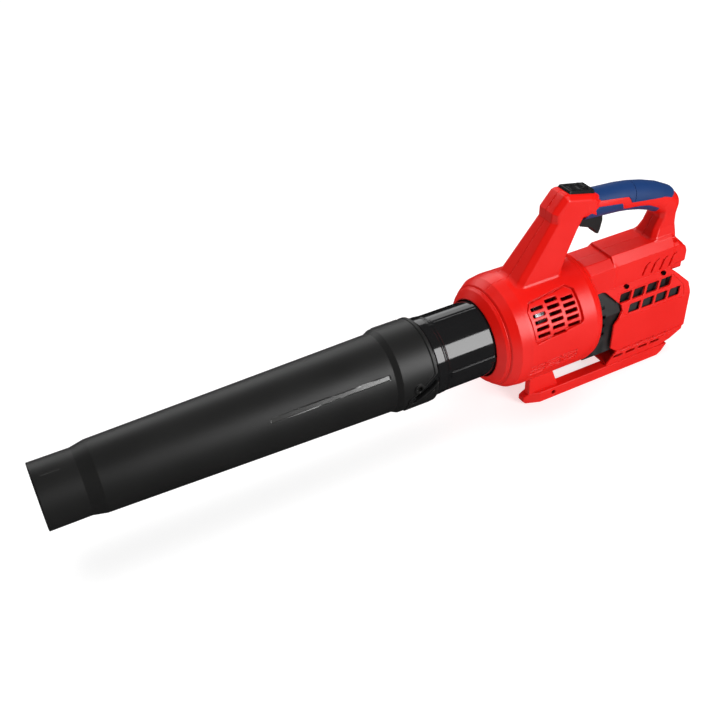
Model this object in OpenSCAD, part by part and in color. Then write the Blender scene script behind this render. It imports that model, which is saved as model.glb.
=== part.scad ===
// Cordless leaf blower: a twist-on tube, a fan driven by an electric motor, a handle with a
// trigger, and a battery pack that slides out at the rear. The tube's axis runs along X with the
// nozzle towards -X. The machine stands on two runners, whose underside is the plane Z = 0.

/* [Blower tube] */
// Length of the blower tube with its collar
tube_len = 457; // [380:1:560]
// Outer radius of the straight nozzle end
nozzle_r = 38; // [31:0.5:46]
// Length of the straight nozzle end
nozzle_len = 46; // [30:1:60]
// Length of the flare behind the nozzle end
flare_len = 16; // [10:1:30]
// Wall of the blower tube
tube_wall = 2.2; // [1.6:0.1:3]
// Length of the collar
collar_len = 46; // [40:1:60]
// Wall of the collar
collar_wall = 3.65; // [3:0.05:6]
// Radius of the two bayonet lugs
lug_r = 4; // [3:0.25:5]
// Length of pull that frees the tube from its bayonet
twist_pull = 38; // [34:1:40]
// Turn that goes with that pull, in degrees
twist_turn = 26; // [16:1:30]

/* [Duct and fan] */
// Outer radius of the duct
duct_r = 48; // [40:0.5:58]
// Wall of the duct
duct_wall = 2.2; // [1.6:0.1:3]
// Length of duct between the collar and the body
duct_show = 80; // [60:1:110]
// Length of duct inside the collar
duct_insert = 44; // [38:1:50]
// Gap between the fan's blade tips and the duct
tip_gap = 0.9; // [0.5:0.1:2]
// Number of fan blades
fan_blades = 9; // [5:1:12]
// Number of straightening vanes
vane_count = 7; // [5:1:11]
// Outer radius of the motor's can
motor_r = 24; // [20:0.5:29]
// Length of the motor's can
motor_len = 54; // [44:1:60]
// Radius of the motor's shaft
shaft_r = 3; // [2:0.25:4]

/* [Body] */
// Outer radius of the motor housing
house_r = 73; // [60:0.5:88]
// Length of the housing's round barrel
barrel_len = 100; // [96:1:130]
// Wall of the red shells
shell_wall = 3; // [2:0.25:4]
// Length of the spine behind the housing
spine_len = 165; // [160:1:200]
// Width of the spine
spine_w = 56; // [50:1:64]
// Width of the handle
grip_w = 36; // [30:0.5:44]
// Width of the battery guard
guard_w = 80; // [78:1:96]
// Gap between the housing and the runners
foot_gap = 23; // [16:1:34]
// Height of a runner
foot_h = 16; // [10:0.5:24]
// Width of a runner
foot_w = 15; // [10:0.5:20]

/* [Battery] */
// Width of the battery pack
pack_w = 70; // [66:0.5:72]
// Length of the battery pack
pack_len = 106; // [100:1:110]
// Height of the battery pack below its guide head
pack_h = 80; // [60:1:82]

/* [Fits] */
// Clearance round a running shaft, pin or seal
run_gap = 0.05; // [0.02:0.01:0.1]
// Clearance between parts that slide past each other
slide_gap = 0.4; // [0.35:0.05:0.8]

/* [Hidden] */
$fn = 96;

// Stations along X, measured from the nozzle's end
collar_bore = duct_r + slide_gap;
collar_r = collar_bore + collar_wall;
tube_rear_r = duct_r + 0.6;
flare_r = nozzle_r + 3.3;
shoulder_len = 7;
shoulder_x = tube_len - collar_len - shoulder_len;
stop_x = tube_len - duct_insert - 1;
duct_x = tube_len - duct_insert;
face_x = tube_len + duct_show;
cone_len = 37;
barrel_x = face_x + cone_len;
barrel_end_x = barrel_x + barrel_len;
round_r = 14;
rear_x = barrel_end_x + round_r;
tail_x = rear_x + spine_len;
guard_end_x = tail_x + 4;
overall_len = guard_end_x;

// Heights from the tube's axis
deck_z = house_r - 7;
tail_drop = 56;
guard_top_z = deck_z - 44;
crease_z = guard_top_z - 42;
foot_top_z = -(house_r + foot_gap);
foot_z = foot_top_z - foot_h;
axis_h = -foot_z;
panel_low_z = foot_top_z + 21;
pack_top_z = guard_top_z - 26;

// Inner places
duct_bore = duct_r - duct_wall;
duct_end_x = face_x + 62;
fan_x = face_x + 24;
fan_len = 26;
hub_r = 20;
vane_x = fan_x - 30;
motor_x = fan_x + 36;
motor_end_x = motor_x + motor_len;
bore_wall = 1.5;
guard_wall = 2.5;
pack_x = tail_x - pack_len + 1;
bay_x = pack_x - 6;
wire_hole_r = 20;

// Tube's end: the seal in its groove, and where the bayonet lugs sit round the duct
seal_x = duct_x + 1.2;
seal_w = 3;
seal_depth = 1.6;
lug_x = duct_x + 11;
lug_turn = 17;
lug_gap = 0.8;
groove_angle = 30;
groove_len = 147;
groove_depth = 1;
tube_slope = atan((tube_rear_r - flare_r) / (shoulder_x - nozzle_len - flare_len));

// Motor
bearing_r = 8;
bearing_w = 5;
core_gap = 12;
motor_screw_r = 1.5;
motor_screw_spread = 14;

// Ring at the housing's mouth, handle, trigger and switch
ring_mid_r = duct_r + 7;
ring_len = 11;
ring_x = face_x + 2;
ring_end_x = ring_x + ring_len;
spigot_r = ring_mid_r - 2;
leg_foot_w = 48;
tail_w = 40;
pad_wall = 2;
edge_step = 4;
trigger_w = 15;
pivot_x = rear_x - 4;
pivot_z = deck_z + 70;
pin_r = 2;
bezel_w = 23;
rocker_w = 13;
rocker_pin_r = 1.5;
rocker_pin_z = -1.5;

// Cradle and battery pack
cradle_w = 68;
cradle_wall = 3;
roof_w = spine_w - 12.5;
roof_h = 13;
cradle_end_x = tail_x - 31;
lip_y = roof_w / 2 + 1.3;
board_x = bay_x - 5.6;
board_wall = 1.6;
blade_step = 7;
blade_y0 = -1.5 * blade_step;
pack_low_z = pack_top_z - pack_h;
split_z = pack_low_z + 50;
case_wall = 2.5;
head_w = 40;
head_h = 9;
cell_r = 9.2;
cell_len = 63.5;
cell_step = 18.8;
cell_rise = 19.4;
latch_w = 34;
latch_h = 16;
latch_z = pack_low_z + 22;
gauge_z = split_z + 0.4 * (pack_top_z - split_z);
gauge_y = 14;
button_r = 3.6;

// Screws
screw_r = 1.6;
screw_head_r = 3.2;
foot_screw_x = rear_x - 45;
foot_screw_z = foot_top_z - 8;
guard_spots = [[64, guard_top_z - 3], [125, guard_top_z - 3]];
pack_screw_spots = [[pack_x + 12, -27], [pack_x + 12, 27], [tail_x - 16, -27], [tail_x - 16, 27]];
// Half width of the front leg at a height above the deck
function leg_half(h) = leg_foot_w / 2 - (h + 16) / 86 * (leg_foot_w - grip_w) / 2;

// [distance behind the housing, height from the axis, half width there] of each screw that joins
// the halves
screw_spots = [
    [-66, deck_z + 32, leg_half(32)], [-44, deck_z + 68, grip_w / 2],
    [127, deck_z + 12, grip_w / 2], [105, deck_z + 55, grip_w / 2], [62, deck_z - 22, spine_w / 2]
];

red = [0.86, 0.09, 0.07];
blue = [0.16, 0.27, 0.56];
black = [0.11, 0.11, 0.12];
steel = [0.68, 0.69, 0.71];
copper = [0.72, 0.42, 0.22];
brass = [0.78, 0.63, 0.32];

// Moves what is drawn from the tube's axis to its place above the ground
module seat() translate([-overall_len / 2, 0, axis_h]) children();

// A solid of revolution about the tube's axis, from a profile of [radius, x] points
module turned() rotate([0, 90, 0]) rotate_extrude() children();

// A round bar along X
module bar_x(x0, x1, r) translate([x0, 0, 0]) rotate([0, 90, 0]) cylinder(h = x1 - x0, r = r);

// A round bar along Y
module bar_y(y0, y1, r) translate([0, y0, 0]) rotate([-90, 0, 0]) cylinder(h = y1 - y0, r = r);

// A sleeve along X
module sleeve_x(x0, x1, r_out, r_in) difference() {
    bar_x(x0, x1, r_out);
    bar_x(x0 - 1, x1 + 1, r_in);
}

// A plate cut to a side outline of [x, z] points
module side_plate(w) rotate([90, 0, 0]) linear_extrude(w, center = true) children();

// A bar along X with a cross section of [y, z] points
module span_x(x0, x1) translate([x0, 0, 0]) rotate([90, 0, 90]) linear_extrude(x1 - x0) children();

// A block from its lowest to its highest corner
module block(low, high) translate(low) cube(high - low);

// The same shape on both sides of the middle plane
module both() {
    children();
    mirror([0, 1, 0]) children();
}

// One side of the middle plane: side is -1 for the left half and 1 for the right half
module half(side) intersection() {
    children();
    block([-50, side < 0 ? -300 : 0, -300], [overall_len + 50, side < 0 ? 0 : 300, 400]);
}

// ---------------------------------------------------------------- blower tube

// Slanted slot that a bayonet lug runs in, from the lug out through the collar's end
module bayonet_slot() {
    slot_r = lug_r + lug_gap;
    rise = 2 * collar_r * sin(twist_turn / 2);
    rotate([lug_turn - twist_turn / 2, 0, 0]) translate([lug_x, 0, 0]) rotate([90, 0, 0])
        translate([0, -rise / 2, duct_r - 2]) linear_extrude(20) union() {
            circle(r = slot_r);
            rotate(atan2(rise, twist_pull)) translate([0, -slot_r])
                square([2 * twist_pull, 2 * slot_r]);
        }
}

module blower_tube() color(black) seat() difference() {
    turned() polygon([
        [nozzle_r, 0], [nozzle_r, nozzle_len], [flare_r, nozzle_len + flare_len],
        [tube_rear_r, shoulder_x], [collar_r, shoulder_x + shoulder_len], [collar_r, tube_len],
        [collar_bore, tube_len], [collar_bore, stop_x], [tube_rear_r - tube_wall, stop_x],
        [flare_r - tube_wall, nozzle_len + flare_len], [nozzle_r - tube_wall, nozzle_len],
        [nozzle_r - tube_wall, 0]
    ]);
    sleeve_x(seal_x, seal_x + seal_w, collar_bore + seal_depth, 1);
    for (turn = [0, 180]) rotate([turn, 0, 0]) bayonet_slot();
    // Long shallow grooves that let the hand feel which way up the tube is
    for (turn = [0, 180]) rotate([turn - groove_angle, 0, 0])
        translate([shoulder_x, -tube_rear_r, 0]) rotate([0, 0, -tube_slope])
            block([-groove_len - 6, -5, -3], [-6, groove_depth, 3]);
}

module tube_seal() color([0.2, 0.2, 0.2]) seat()
    sleeve_x(seal_x + run_gap, seal_x + seal_w - run_gap, collar_bore + seal_depth - run_gap,
             duct_r + run_gap);

// ---------------------------------------------------------------- air path

module duct_tube() color([0.05, 0.05, 0.05]) seat() {
    difference() {
        union() {
            turned() polygon([
                [duct_r, duct_x], [duct_r, duct_end_x - 14], [duct_r + 8, duct_end_x],
                [duct_r + 8 - duct_wall, duct_end_x], [duct_bore, duct_end_x - 14],
                [duct_bore, duct_x]
            ]);
            // Raised band next to the collar
            sleeve_x(tube_len + 2, tube_len + 9, duct_r + 0.5, duct_bore + 0.5);
            // Four ribs that stiffen the duct between the collar and the body
            for (turn = [0 : 90 : 270]) rotate([turn, 0, 0])
                block([tube_len + 15, -duct_r - 1, -4], [face_x + 2.5, -duct_bore - 0.5, 4]);
        }
        bar_x(duct_x - 1, duct_end_x - 15, duct_bore);
    }
    // Two bayonet lugs
    for (turn = [0, 180]) rotate([turn + lug_turn, 0, 0])
        translate([lug_x, 0, 0]) bar_y(-collar_r + 0.4, -duct_bore - 0.6, lug_r);
}

module stator_vanes() color(black) seat() {
    turned() polygon([
        [0, vane_x - 34], [6, vane_x - 31], [13, vane_x - 20], [17, vane_x - 8],
        [hub_r - 0.5, vane_x], [hub_r - 0.5, vane_x + 24], [hub_r - 4, vane_x + 24],
        [hub_r - 4, vane_x + 14], [0, vane_x + 14]
    ]);
    for (i = [0 : vane_count - 1]) rotate([i * 360 / vane_count, 0, 0])
        translate([vane_x + 13, 0, 0]) rotate([14, 0, 0])
            block([-11, -0.9, hub_r - 3], [9, 0.9, duct_bore - 0.7]);
    sleeve_x(vane_x + 1, vane_x + 23, duct_bore, duct_bore - 1.3);
}

module fan() color([0.2, 0.2, 0.21]) seat() {
    difference() {
        turned() polygon([
            [shaft_r, fan_x + 2], [hub_r - 5, fan_x + 2], [hub_r, fan_x + 6],
            [hub_r, fan_x + fan_len], [hub_r - 3, fan_x + fan_len], [hub_r - 3, fan_x + 10],
            [8, fan_x + 10], [8, fan_x + fan_len - 2], [shaft_r, fan_x + fan_len - 2]
        ]);
        bar_x(fan_x - 1, fan_x + fan_len + 1, shaft_r);
    }
    intersection() {
        for (i = [0 : fan_blades - 1]) rotate([i * 360 / fan_blades, 0, 0])
            translate([fan_x + 15, 0, 0]) rotate([0, 0, 36])
                block([-12.5, -0.9, hub_r - 1.5], [12.5, 0.9, duct_r]);
        bar_x(fan_x + 4, fan_x + fan_len, duct_bore - tip_gap);
    }
}

module fan_nut() color(steel) seat() difference() {
    translate([fan_x - 3, 0, 0]) rotate([0, 90, 0]) cylinder(h = 5, r = 6, $fn = 6);
    bar_x(fan_x - 4, fan_x + 3, shaft_r);
}

module motor_shaft() color(steel) seat() bar_x(fan_x - 5, motor_end_x + 3, shaft_r);

module rotor_core() color(steel) seat()
    sleeve_x(motor_x + core_gap - 1, motor_end_x - core_gap + 1, 9.5, shaft_r);

module rotor_magnets() color([0.35, 0.35, 0.37]) seat()
    for (i = [0 : 3]) rotate([i * 90, 0, 0]) intersection() {
        sleeve_x(motor_x + core_gap, motor_end_x - core_gap, 11.5, 9.5);
        block([0, -6.5, 0], [overall_len, 6.5, 20]);
    }

// The four places of the motor's screws, round its axis
module motor_screw_places() for (a = [45 : 90 : 315])
    rotate([a, 0, 0]) translate([0, 0, motor_screw_spread]) children();

module motor_bracket() color(black) seat() {
    difference() {
        union() {
            bar_x(motor_x - 5, motor_x, motor_r + 2);
            sleeve_x(motor_x - 5, motor_x + 8, motor_r + 2, motor_r);
        }
        bar_x(motor_x - 6, motor_x + 1, 9);
        motor_screw_places() bar_x(motor_x - 6, motor_x + 1, motor_screw_r);
    }
    // Arms from the motor out to the duct's bell mouth
    for (i = [0 : 4]) rotate([36 + i * 72, 0, 0])
        block([duct_end_x, -2, motor_r + 1], [duct_end_x + 4, 2, duct_r + 7.5]);
}

module motor_can() color(steel) seat() difference() {
    bar_x(motor_x, motor_end_x - 4, motor_r);
    bar_x(motor_x + 2, motor_end_x, motor_r - bore_wall);
    bar_x(motor_x - 1, motor_x + 4, bearing_r);
    motor_screw_places() {
        bar_x(motor_x - 1, motor_x + 3, motor_screw_r);
        // Air slots near the can's rear end
        translate([0, 0, motor_r - motor_screw_spread])
            block([motor_end_x - 20, -4, -4], [motor_end_x - 12, 4, 2]);
    }
}

module end_bell() color([0.3, 0.3, 0.32]) seat() difference() {
    union() {
        bar_x(motor_end_x - 4, motor_end_x, motor_r);
        bar_x(motor_end_x - 8, motor_end_x, bearing_r + 2);
    }
    bar_x(motor_end_x - 9, motor_end_x - 2, bearing_r);
    bar_x(motor_end_x - 3, motor_end_x + 1, shaft_r + 1);
}

// Laminated ring with six teeth
module motor_core() color([0.45, 0.45, 0.47]) seat() {
    sleeve_x(motor_x + core_gap, motor_end_x - core_gap, motor_r - bore_wall, motor_r - 5);
    for (i = [0 : 5]) rotate([i * 60, 0, 0]) intersection() {
        block([motor_x + core_gap, -2.5, 12.5], [motor_end_x - core_gap, 2.5, motor_r - 4]);
        sleeve_x(motor_x, motor_end_x, motor_r - 4, 12.5);
    }
}

module motor_windings() color(copper) seat()
    for (i = [0 : 5]) rotate([i * 60, 0, 0]) difference() {
        block([motor_x + core_gap - 3.5, -5, 14],
              [motor_end_x - core_gap + 3.5, 5, motor_r - 5.8]);
        block([motor_x + core_gap, -2.5, 13], [motor_end_x - core_gap, 2.5, motor_r - 5]);
    }

module bearing(x0) difference() {
    bar_x(x0, x0 + bearing_w, bearing_r);
    bar_x(x0 - 1, x0 + bearing_w + 1, shaft_r + run_gap);
    sleeve_x(x0 - 1, x0 + 0.4, bearing_r - 2, shaft_r + 2);
    sleeve_x(x0 + bearing_w - 0.4, x0 + bearing_w + 1, bearing_r - 2, shaft_r + 2);
}

module bearing_front() color(steel) seat() bearing(motor_x);

module bearing_rear() color(steel) seat() bearing(motor_end_x - 2 - bearing_w);

module motor_screws() color(steel) seat()
    motor_screw_places() {
        bar_x(motor_x - 5, motor_x + 2, motor_screw_r);
        bar_x(motor_x - 7, motor_x - 5, 2.8);
    }

// ---------------------------------------------------------------- red body

// Side outline of the handle, in [distance behind the housing, height above the deck]
module handle_outline() polygon([
    [-106, -14], [-52.5, 75], [-52.7, 85.6], [-37.5, 103], [6, 94], [14, 91], [42, 90], [69, 85.5],
    [89, 80], [109, 73], [130, 62], [143, 50], [148, 34], [146, -14]
]);

// Side outline of the hand opening
module hand_outline() offset(r = 4, $fn = 24) offset(delta = -4) polygon([
    [-41, 0], [-28, 31], [-15, 57], [-8, 67], [12, 59], [34, 54], [69, 49.5], [97, 42], [112, 34],
    [119, 27], [106, 0]
]);

module handle_side() difference() {
    handle_outline();
    hand_outline();
}

// Puts a side outline behind the housing and on the deck
module on_deck() translate([rear_x, deck_z]) children();

// Cross section of the spine: wide deck with chamfered edges
module deck_section(top, w) polygon([
    [-w / 2, guard_top_z], [-w / 2, top - 8], [-w / 2 + 8, top], [w / 2 - 8, top],
    [w / 2, top - 8], [w / 2, guard_top_z]
]);

module tail_section(w, inset) polygon([
    [-w / 2 + inset, deck_z - tail_drop + inset], [-w / 2 + inset, deck_z - 27 - inset],
    [-w / 2 + 6 + inset, deck_z - 21 - inset], [w / 2 - 6 - inset, deck_z - 21 - inset],
    [w / 2 - inset, deck_z - 27 - inset], [w / 2 - inset, deck_z - tail_drop + inset]
]);

// Front leg, wider where it stands on the housing
module front_leg(inset) intersection() {
    side_plate(leg_foot_w - 2 * inset) offset(delta = -inset) on_deck() polygon([
        [-106, -14], [-56, 69], [-14, 66], [-28, 31], [-41, 0], [-44, -14]
    ]);
    span_x(0, overall_len) polygon([
        [-leg_foot_w / 2 + inset, deck_z - 16], [-grip_w / 2 + inset, deck_z + 70],
        [grip_w / 2 - inset, deck_z + 70], [leg_foot_w / 2 - inset, deck_z - 16]
    ]);
}

module body_solid() {
    turned() polygon([
        [0, ring_x + 3], [spigot_r, ring_x + 3], [spigot_r, ring_end_x],
        [ring_mid_r + 8, ring_end_x], [house_r, barrel_x], [house_r, barrel_end_x], [house_r - 2, rear_x - 7],
        [house_r - 6, rear_x - 2], [house_r - 13, rear_x], [0, rear_x]
    ]);
    handle_bar(0);
    front_leg(0);
    span_x(barrel_end_x - 6, rear_x + 40) deck_section(deck_z - 2, spine_w);
    span_x(rear_x + 40, tail_x - 25) deck_section(deck_z + 1, spine_w);
    span_x(tail_x - 30, tail_x) tail_section(tail_w, 0);
    both() pedestal();
}

// Foot of the housing that a runner is screwed to
module pedestal() intersection() {
    side_plate(guard_w) polygon([
        [rear_x - 86, foot_top_z], [rear_x - 36, foot_top_z], [rear_x - 48, -house_r + 22],
        [rear_x - 86, -house_r + 22]
    ]);
    block([0, -guard_w / 2 + 4, foot_z], [overall_len, -guard_w / 2 + 2 + foot_w, 0]);
}

module body_cavity() {
    wall = shell_wall;
    turned() polygon([
        [0, face_x], [duct_r, face_x], [duct_r, ring_end_x + 1],
        [ring_mid_r + 1, ring_end_x + 4], [house_r - wall, barrel_x + 1],
        [house_r - wall, barrel_end_x - 2], [house_r - 16, rear_x - wall], [0, rear_x - wall]
    ]);
    side_plate(grip_w - 2 * edge_step) offset(delta = -2 * wall) on_deck() handle_side();
    front_leg(wall);
    span_x(barrel_end_x - 12, tail_x - 25 - wall) offset(delta = -wall)
        deck_section(deck_z - 2, spine_w);
    span_x(tail_x - 34, tail_x - wall) tail_section(tail_w, wall);
    trigger_mouth();
    // Seat of the speed switch
    on_top() block([-19, -bezel_w / 2, -9], [19, bezel_w / 2, 5]);
    // Bore for the ends of the trigger's pin
    translate([pivot_x, 0, pivot_z]) bar_y(-trigger_w / 2 - 2.5, trigger_w / 2 + 2.5, pin_r);
    // Hole for the motor's wires
    bar_x(rear_x - shell_wall - 1, rear_x + 1, wire_hole_r);
    // Way for the wires from the spine into the cradle
    block([rear_x + 4, -8, guard_top_z - 5], [rear_x + 30, 8, guard_top_z + 6]);
}

// Mouth under the grip that the trigger comes out of
module trigger_mouth() block([rear_x - 12, -trigger_w / 2 - 1.2, deck_z + 40],
                             [rear_x + 34, trigger_w / 2 + 1.2, deck_z + 78]);

// Places what sits on the sloping top in front of the grip
module on_top() translate([rear_x - 12.5, 0, deck_z + 97]) rotate([0, 11.7, 0]) children();

// Air slots of one side: columns along the barrel, rows round it
module vent_slots() {
    for (col = [0 : 2]) for (row = [0 : (col == 1 ? 5 : 4)])
        rotate([-(48 - row * 6.8 + (col == 1 ? 3.4 : 0)), 0, 0])
            translate([barrel_x + 21 + col * 22, -house_r + 1, 0])
                cube([17, 14, 4], center = true);
}

// Shallow recess round the air slots
module vent_recess() rotate([-38, 0, 0]) difference() {
    translate([barrel_x + 43, -house_r, 0]) cube([76, 30, 62], center = true);
    bar_x(0, overall_len, house_r - 1.6);
}

module screw_bosses() for (spot = screw_spots) translate([rear_x + spot[0], 0, spot[1]])
    bar_y(-spot[2] + 2.5, spot[2] - 2.5, 4.5);

module screw_holes() for (spot = screw_spots) translate([rear_x + spot[0], 0, spot[1]]) {
    bar_y(-spot[2] + 6, spot[2], screw_r);
    bar_y(spot[2] - 5, spot[2] + 10, screw_head_r + slide_gap);
}

module body_shell() difference() {
    union() {
        difference() {
            body_solid();
            body_cavity();
        }
        screw_bosses();
        // Pegs that hold the trigger's switch
        both() for (x = [9, 25]) translate([rear_x + x, 0, deck_z + 79]) bar_y(-15.5, -7, 2.5);
    }
    screw_holes();
    both() vent_slots();
    both() vent_recess();
    // Ring seat
    sleeve_x(0, ring_end_x, house_r, spigot_r);
}

module housing_left() color(red) seat() half(-1) body_shell();

module housing_right() color([0.82, 0.09, 0.07]) seat() half(1) body_shell();

module front_ring() color(red) seat() turned() polygon([
    [duct_r + 1.6, ring_x], [duct_r + 3.2, ring_x], [ring_mid_r + 5, ring_x + 7],
    [ring_mid_r + 7, ring_end_x], [spigot_r, ring_end_x], [spigot_r, ring_x + 3],
    [duct_r + 1.6, ring_x + 3]
]);

module housing_screws() color(steel) seat()
    for (spot = screw_spots) translate([rear_x + spot[0], 0, spot[1]]) {
        bar_y(-spot[2] + 7, spot[2] - 5, screw_r);
        bar_y(spot[2] - 5, spot[2] - 2.6, screw_head_r);
    }

// ---------------------------------------------------------------- soft grips

// The handle with its edges stepped in, grown by a thickness
module handle_bar(grow) {
    side_plate(grip_w - 2 * edge_step + grow) offset(delta = grow) on_deck() handle_side();
    side_plate(grip_w + 2 * grow) offset(delta = grow - edge_step) on_deck() handle_side();
}

// Soft cover of a stretch of the handle
module pad_over() difference() {
    intersection() {
        side_plate(2 * grip_w) on_deck() children();
        handle_bar(pad_wall);
    }
    handle_bar(0);
}

module grip_top() color(blue) seat() pad_over() polygon([
    [10, 96], [14, 97], [42, 96], [69, 91], [89, 86], [109, 79], [129, 69], [141, 56],
    [120, 61], [84, 66], [76, 65], [70, 75], [57, 79], [24, 84], [16, 86]
]);

module grip_bottom() color([0.2, 0.25, 0.55]) seat() difference() {
    pad_over() polygon([
        [0, 58], [3, 71], [14, 76], [46, 72], [54, 60], [72, 60], [92, 55], [108, 47], [112, 30],
        [97, 36], [69, 43], [34, 47], [12, 52]
    ]);
    trigger_mouth();
}

// ---------------------------------------------------------------- trigger

module trigger() color(black) seat() difference() {
    union() {
        side_plate(trigger_w) on_deck() polygon([
            [-8.5, 66], [-8.8, 58], [-6, 50], [9, 45], [18, 40], [25, 32], [28.5, 38], [29.5, 54],
            [27, 60], [6, 66]
        ]);
        translate([pivot_x, 0, pivot_z]) bar_y(-trigger_w / 2, trigger_w / 2, 5.5);
    }
    translate([pivot_x, 0, pivot_z]) {
        bar_y(-trigger_w, trigger_w, pin_r + run_gap);
        bar_y(-2.6, 2.6, 6.4);
    }
}

module trigger_pin() color(steel) seat() translate([pivot_x, 0, pivot_z])
    bar_y(-trigger_w / 2 - 2.5, trigger_w / 2 + 2.5, pin_r);

// Torsion spring round the pin: turns lying side by side with one leg
module trigger_spring() color(steel) seat() translate([pivot_x, 0, pivot_z]) {
    for (turn = [-2 : 1]) translate([0, turn * 1.1 + 0.55, 0]) rotate([90, 0, 0])
        rotate_extrude() translate([pin_r + 1.3, 0]) circle(r = 0.6, $fn = 24);
    translate([0, 0, pin_r + 1.3]) bar_x(0, 6.8, 0.5);
}

module trigger_switch() color([0.25, 0.25, 0.27]) seat() {
    block([rear_x + 4, -7, deck_z + 74], [rear_x + 30, 7, deck_z + 84]);
    block([rear_x + 14, -3, deck_z + 69.5], [rear_x + 19, 3, deck_z + 74]);
}

// ---------------------------------------------------------------- speed switch

module switch_bezel() color(black) seat() on_top() difference() {
    union() {
        block([-19, -bezel_w / 2, 0], [19, bezel_w / 2, 3.5]);
        block([-17, -bezel_w / 2 + 2, -8.5], [17, bezel_w / 2 - 2, 0]);
    }
    block([-13.5, -rocker_w / 2 - slide_gap, -6], [13.5, rocker_w / 2 + slide_gap, 6]);
    translate([0, 0, rocker_pin_z]) bar_y(-bezel_w / 2 + 3, bezel_w / 2 - 3, rocker_pin_r);
}

module speed_rocker() color([0.17, 0.17, 0.18]) seat() on_top() difference() {
    side_plate(rocker_w) polygon([
        [-12.6, 2], [-12, -1], [-3.5, -4.6], [3.5, -4.6], [12, -1], [12.6, 5], [3, 3.4],
        [-3, 2.6]
    ]);
    translate([0, 0, rocker_pin_z]) bar_y(-rocker_w, rocker_w, rocker_pin_r + run_gap);
}

module rocker_pin() color(steel) seat() on_top() translate([0, 0, rocker_pin_z])
    bar_y(-bezel_w / 2 + 3, bezel_w / 2 - 3, rocker_pin_r);

// ---------------------------------------------------------------- battery guard

// Cross section of one side of the guard, shrunk by inset
module guard_section(inset) {
    y1 = guard_w / 2 - inset;
    polygon([
        [0, guard_top_z + 2 - inset], [-spine_w / 2 + 3 + inset, guard_top_z + 2 - inset],
        [-y1, crease_z], [-y1, panel_low_z + 3], [-y1 + 2.5, panel_low_z],
        [-y1 + 2.5, foot_top_z + inset], [0, foot_top_z + inset]
    ]);
}

module guard_outline() polygon([
    [rear_x + 17, guard_top_z + 4], [rear_x + 32, guard_top_z - 4],
    [rear_x + 54, guard_top_z - 26], [rear_x + 55, guard_top_z - 33],
    [rear_x + 42, guard_top_z - 50], [rear_x + 42, panel_low_z + 9],
    [rear_x + 55, panel_low_z - 1], [rear_x + 39, foot_top_z], [tail_x - 34, foot_top_z],
    [tail_x - 15, foot_top_z + 5], [guard_end_x, panel_low_z - 6], [guard_end_x, crease_z + 4],
    [guard_end_x - 2, crease_z + 15], [tail_x - 16, crease_z + 32],
    [tail_x - 34, guard_top_z + 4]
]);

// Openings of the grille: two rows of slanted windows
module grille_windows() for (row = [0, 1]) for (i = [0 : 3])
    translate([rear_x + 62 + row * 15 + i * 22, 0, guard_top_z - 18 - row * 20])
        rotate([90, 0, 0]) linear_extrude(guard_w) polygon([
            [-7, -6], [5, -6], [10, 6], [-2, 6]
        ]);

// Two rows of small slots along the guard's lower edge
module low_slots() for (row = [0, 1]) for (i = [0 : 3])
    translate([rear_x + 66 + i * 26 - row * 12, -guard_w / 2, panel_low_z + 4 - row * 12])
        cube([17, 14, 3.4], center = true);

module guard_half() difference() {
    intersection() {
        difference() {
            span_x(rear_x, guard_end_x) guard_section(0);
            span_x(rear_x - 1, guard_end_x + 1) guard_section(guard_wall);
        }
        side_plate(2 * guard_w) guard_outline();
        block([0, -guard_w, -300], [overall_len, 0, 300]);
    }
    grille_windows();
    low_slots();
    for (spot = guard_spots) translate([rear_x + spot[0], -guard_w / 2, spot[1]])
        bar_y(0, guard_w / 2 - 14, 1.7);
    // The spine, the tail and the cradle's roof lie between the guard's upper edges
    block([0, -spine_w / 2, guard_top_z], [overall_len, 1, 200]);
    block([0, -lip_y, guard_top_z - roof_h], [overall_len, 1, 200]);
}

module guard_left() color(red) seat() guard_half();

module guard_right() color([0.82, 0.09, 0.07]) seat() mirror([0, 1, 0]) guard_half();

module guard_screws() color(steel) seat() both()
    for (spot = guard_spots) translate([rear_x + spot[0], 0, spot[1]]) {
        bar_y(-29, -16, 1.7);
        bar_y(-30.5, -29, 3);
    }

// ---------------------------------------------------------------- cradle

// Cross section of the cradle's box: its shoulders lean in like the guard round it
module cradle_section(inset) offset(delta = -inset) polygon([
    [-cradle_w / 2, -house_r + 1], [cradle_w / 2, -house_r + 1],
    [cradle_w / 2, pack_top_z - 10], [roof_w / 2, guard_top_z],
    [-roof_w / 2, guard_top_z], [-cradle_w / 2, pack_top_z - 10]
]);

module cradle() color(black) seat() difference() {
    union() {
        span_x(rear_x, bay_x) cradle_section(0);
        // Roof plate with a pair of guide rails for the pack
        block([bay_x, -roof_w / 2, guard_top_z - roof_h], [cradle_end_x, roof_w / 2, guard_top_z]);
        both() block([bay_x, -head_w / 2 - slide_gap - 5.5, pack_top_z + slide_gap],
                     [cradle_end_x, -head_w / 2 - slide_gap, guard_top_z - roof_h]);
    }
    // Room for the control board
    span_x(rear_x + cradle_wall, bay_x - cradle_wall) cradle_section(cradle_wall);
    // Air and wires come in at the front and from above
    bar_x(rear_x - 1, rear_x + 5, wire_hole_r);
    for (spot = guard_spots) translate([rear_x + spot[0], 0, spot[1]]) both() bar_y(-24, -15, 1.7);
    block([rear_x + 4, -8, guard_top_z - 5], [rear_x + 30, 8, guard_top_z + 1]);
    // Way in for the terminal block
    block([bay_x - 5, -16, pack_top_z - 1], [bay_x + 1, 16, guard_top_z - roof_h - 1]);
    both() for (i = [0 : 3]) translate([rear_x + 19, -cradle_w / 2, -40 + i * 13])
        cube([24, 10, 5], center = true);
}

module control_board() color([0.1, 0.35, 0.2]) seat()
    block([board_x, -cradle_w / 2 + cradle_wall, 1 + cradle_wall - house_r],
          [board_x + board_wall, cradle_w / 2 - cradle_wall, pack_top_z - 12]);

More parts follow.
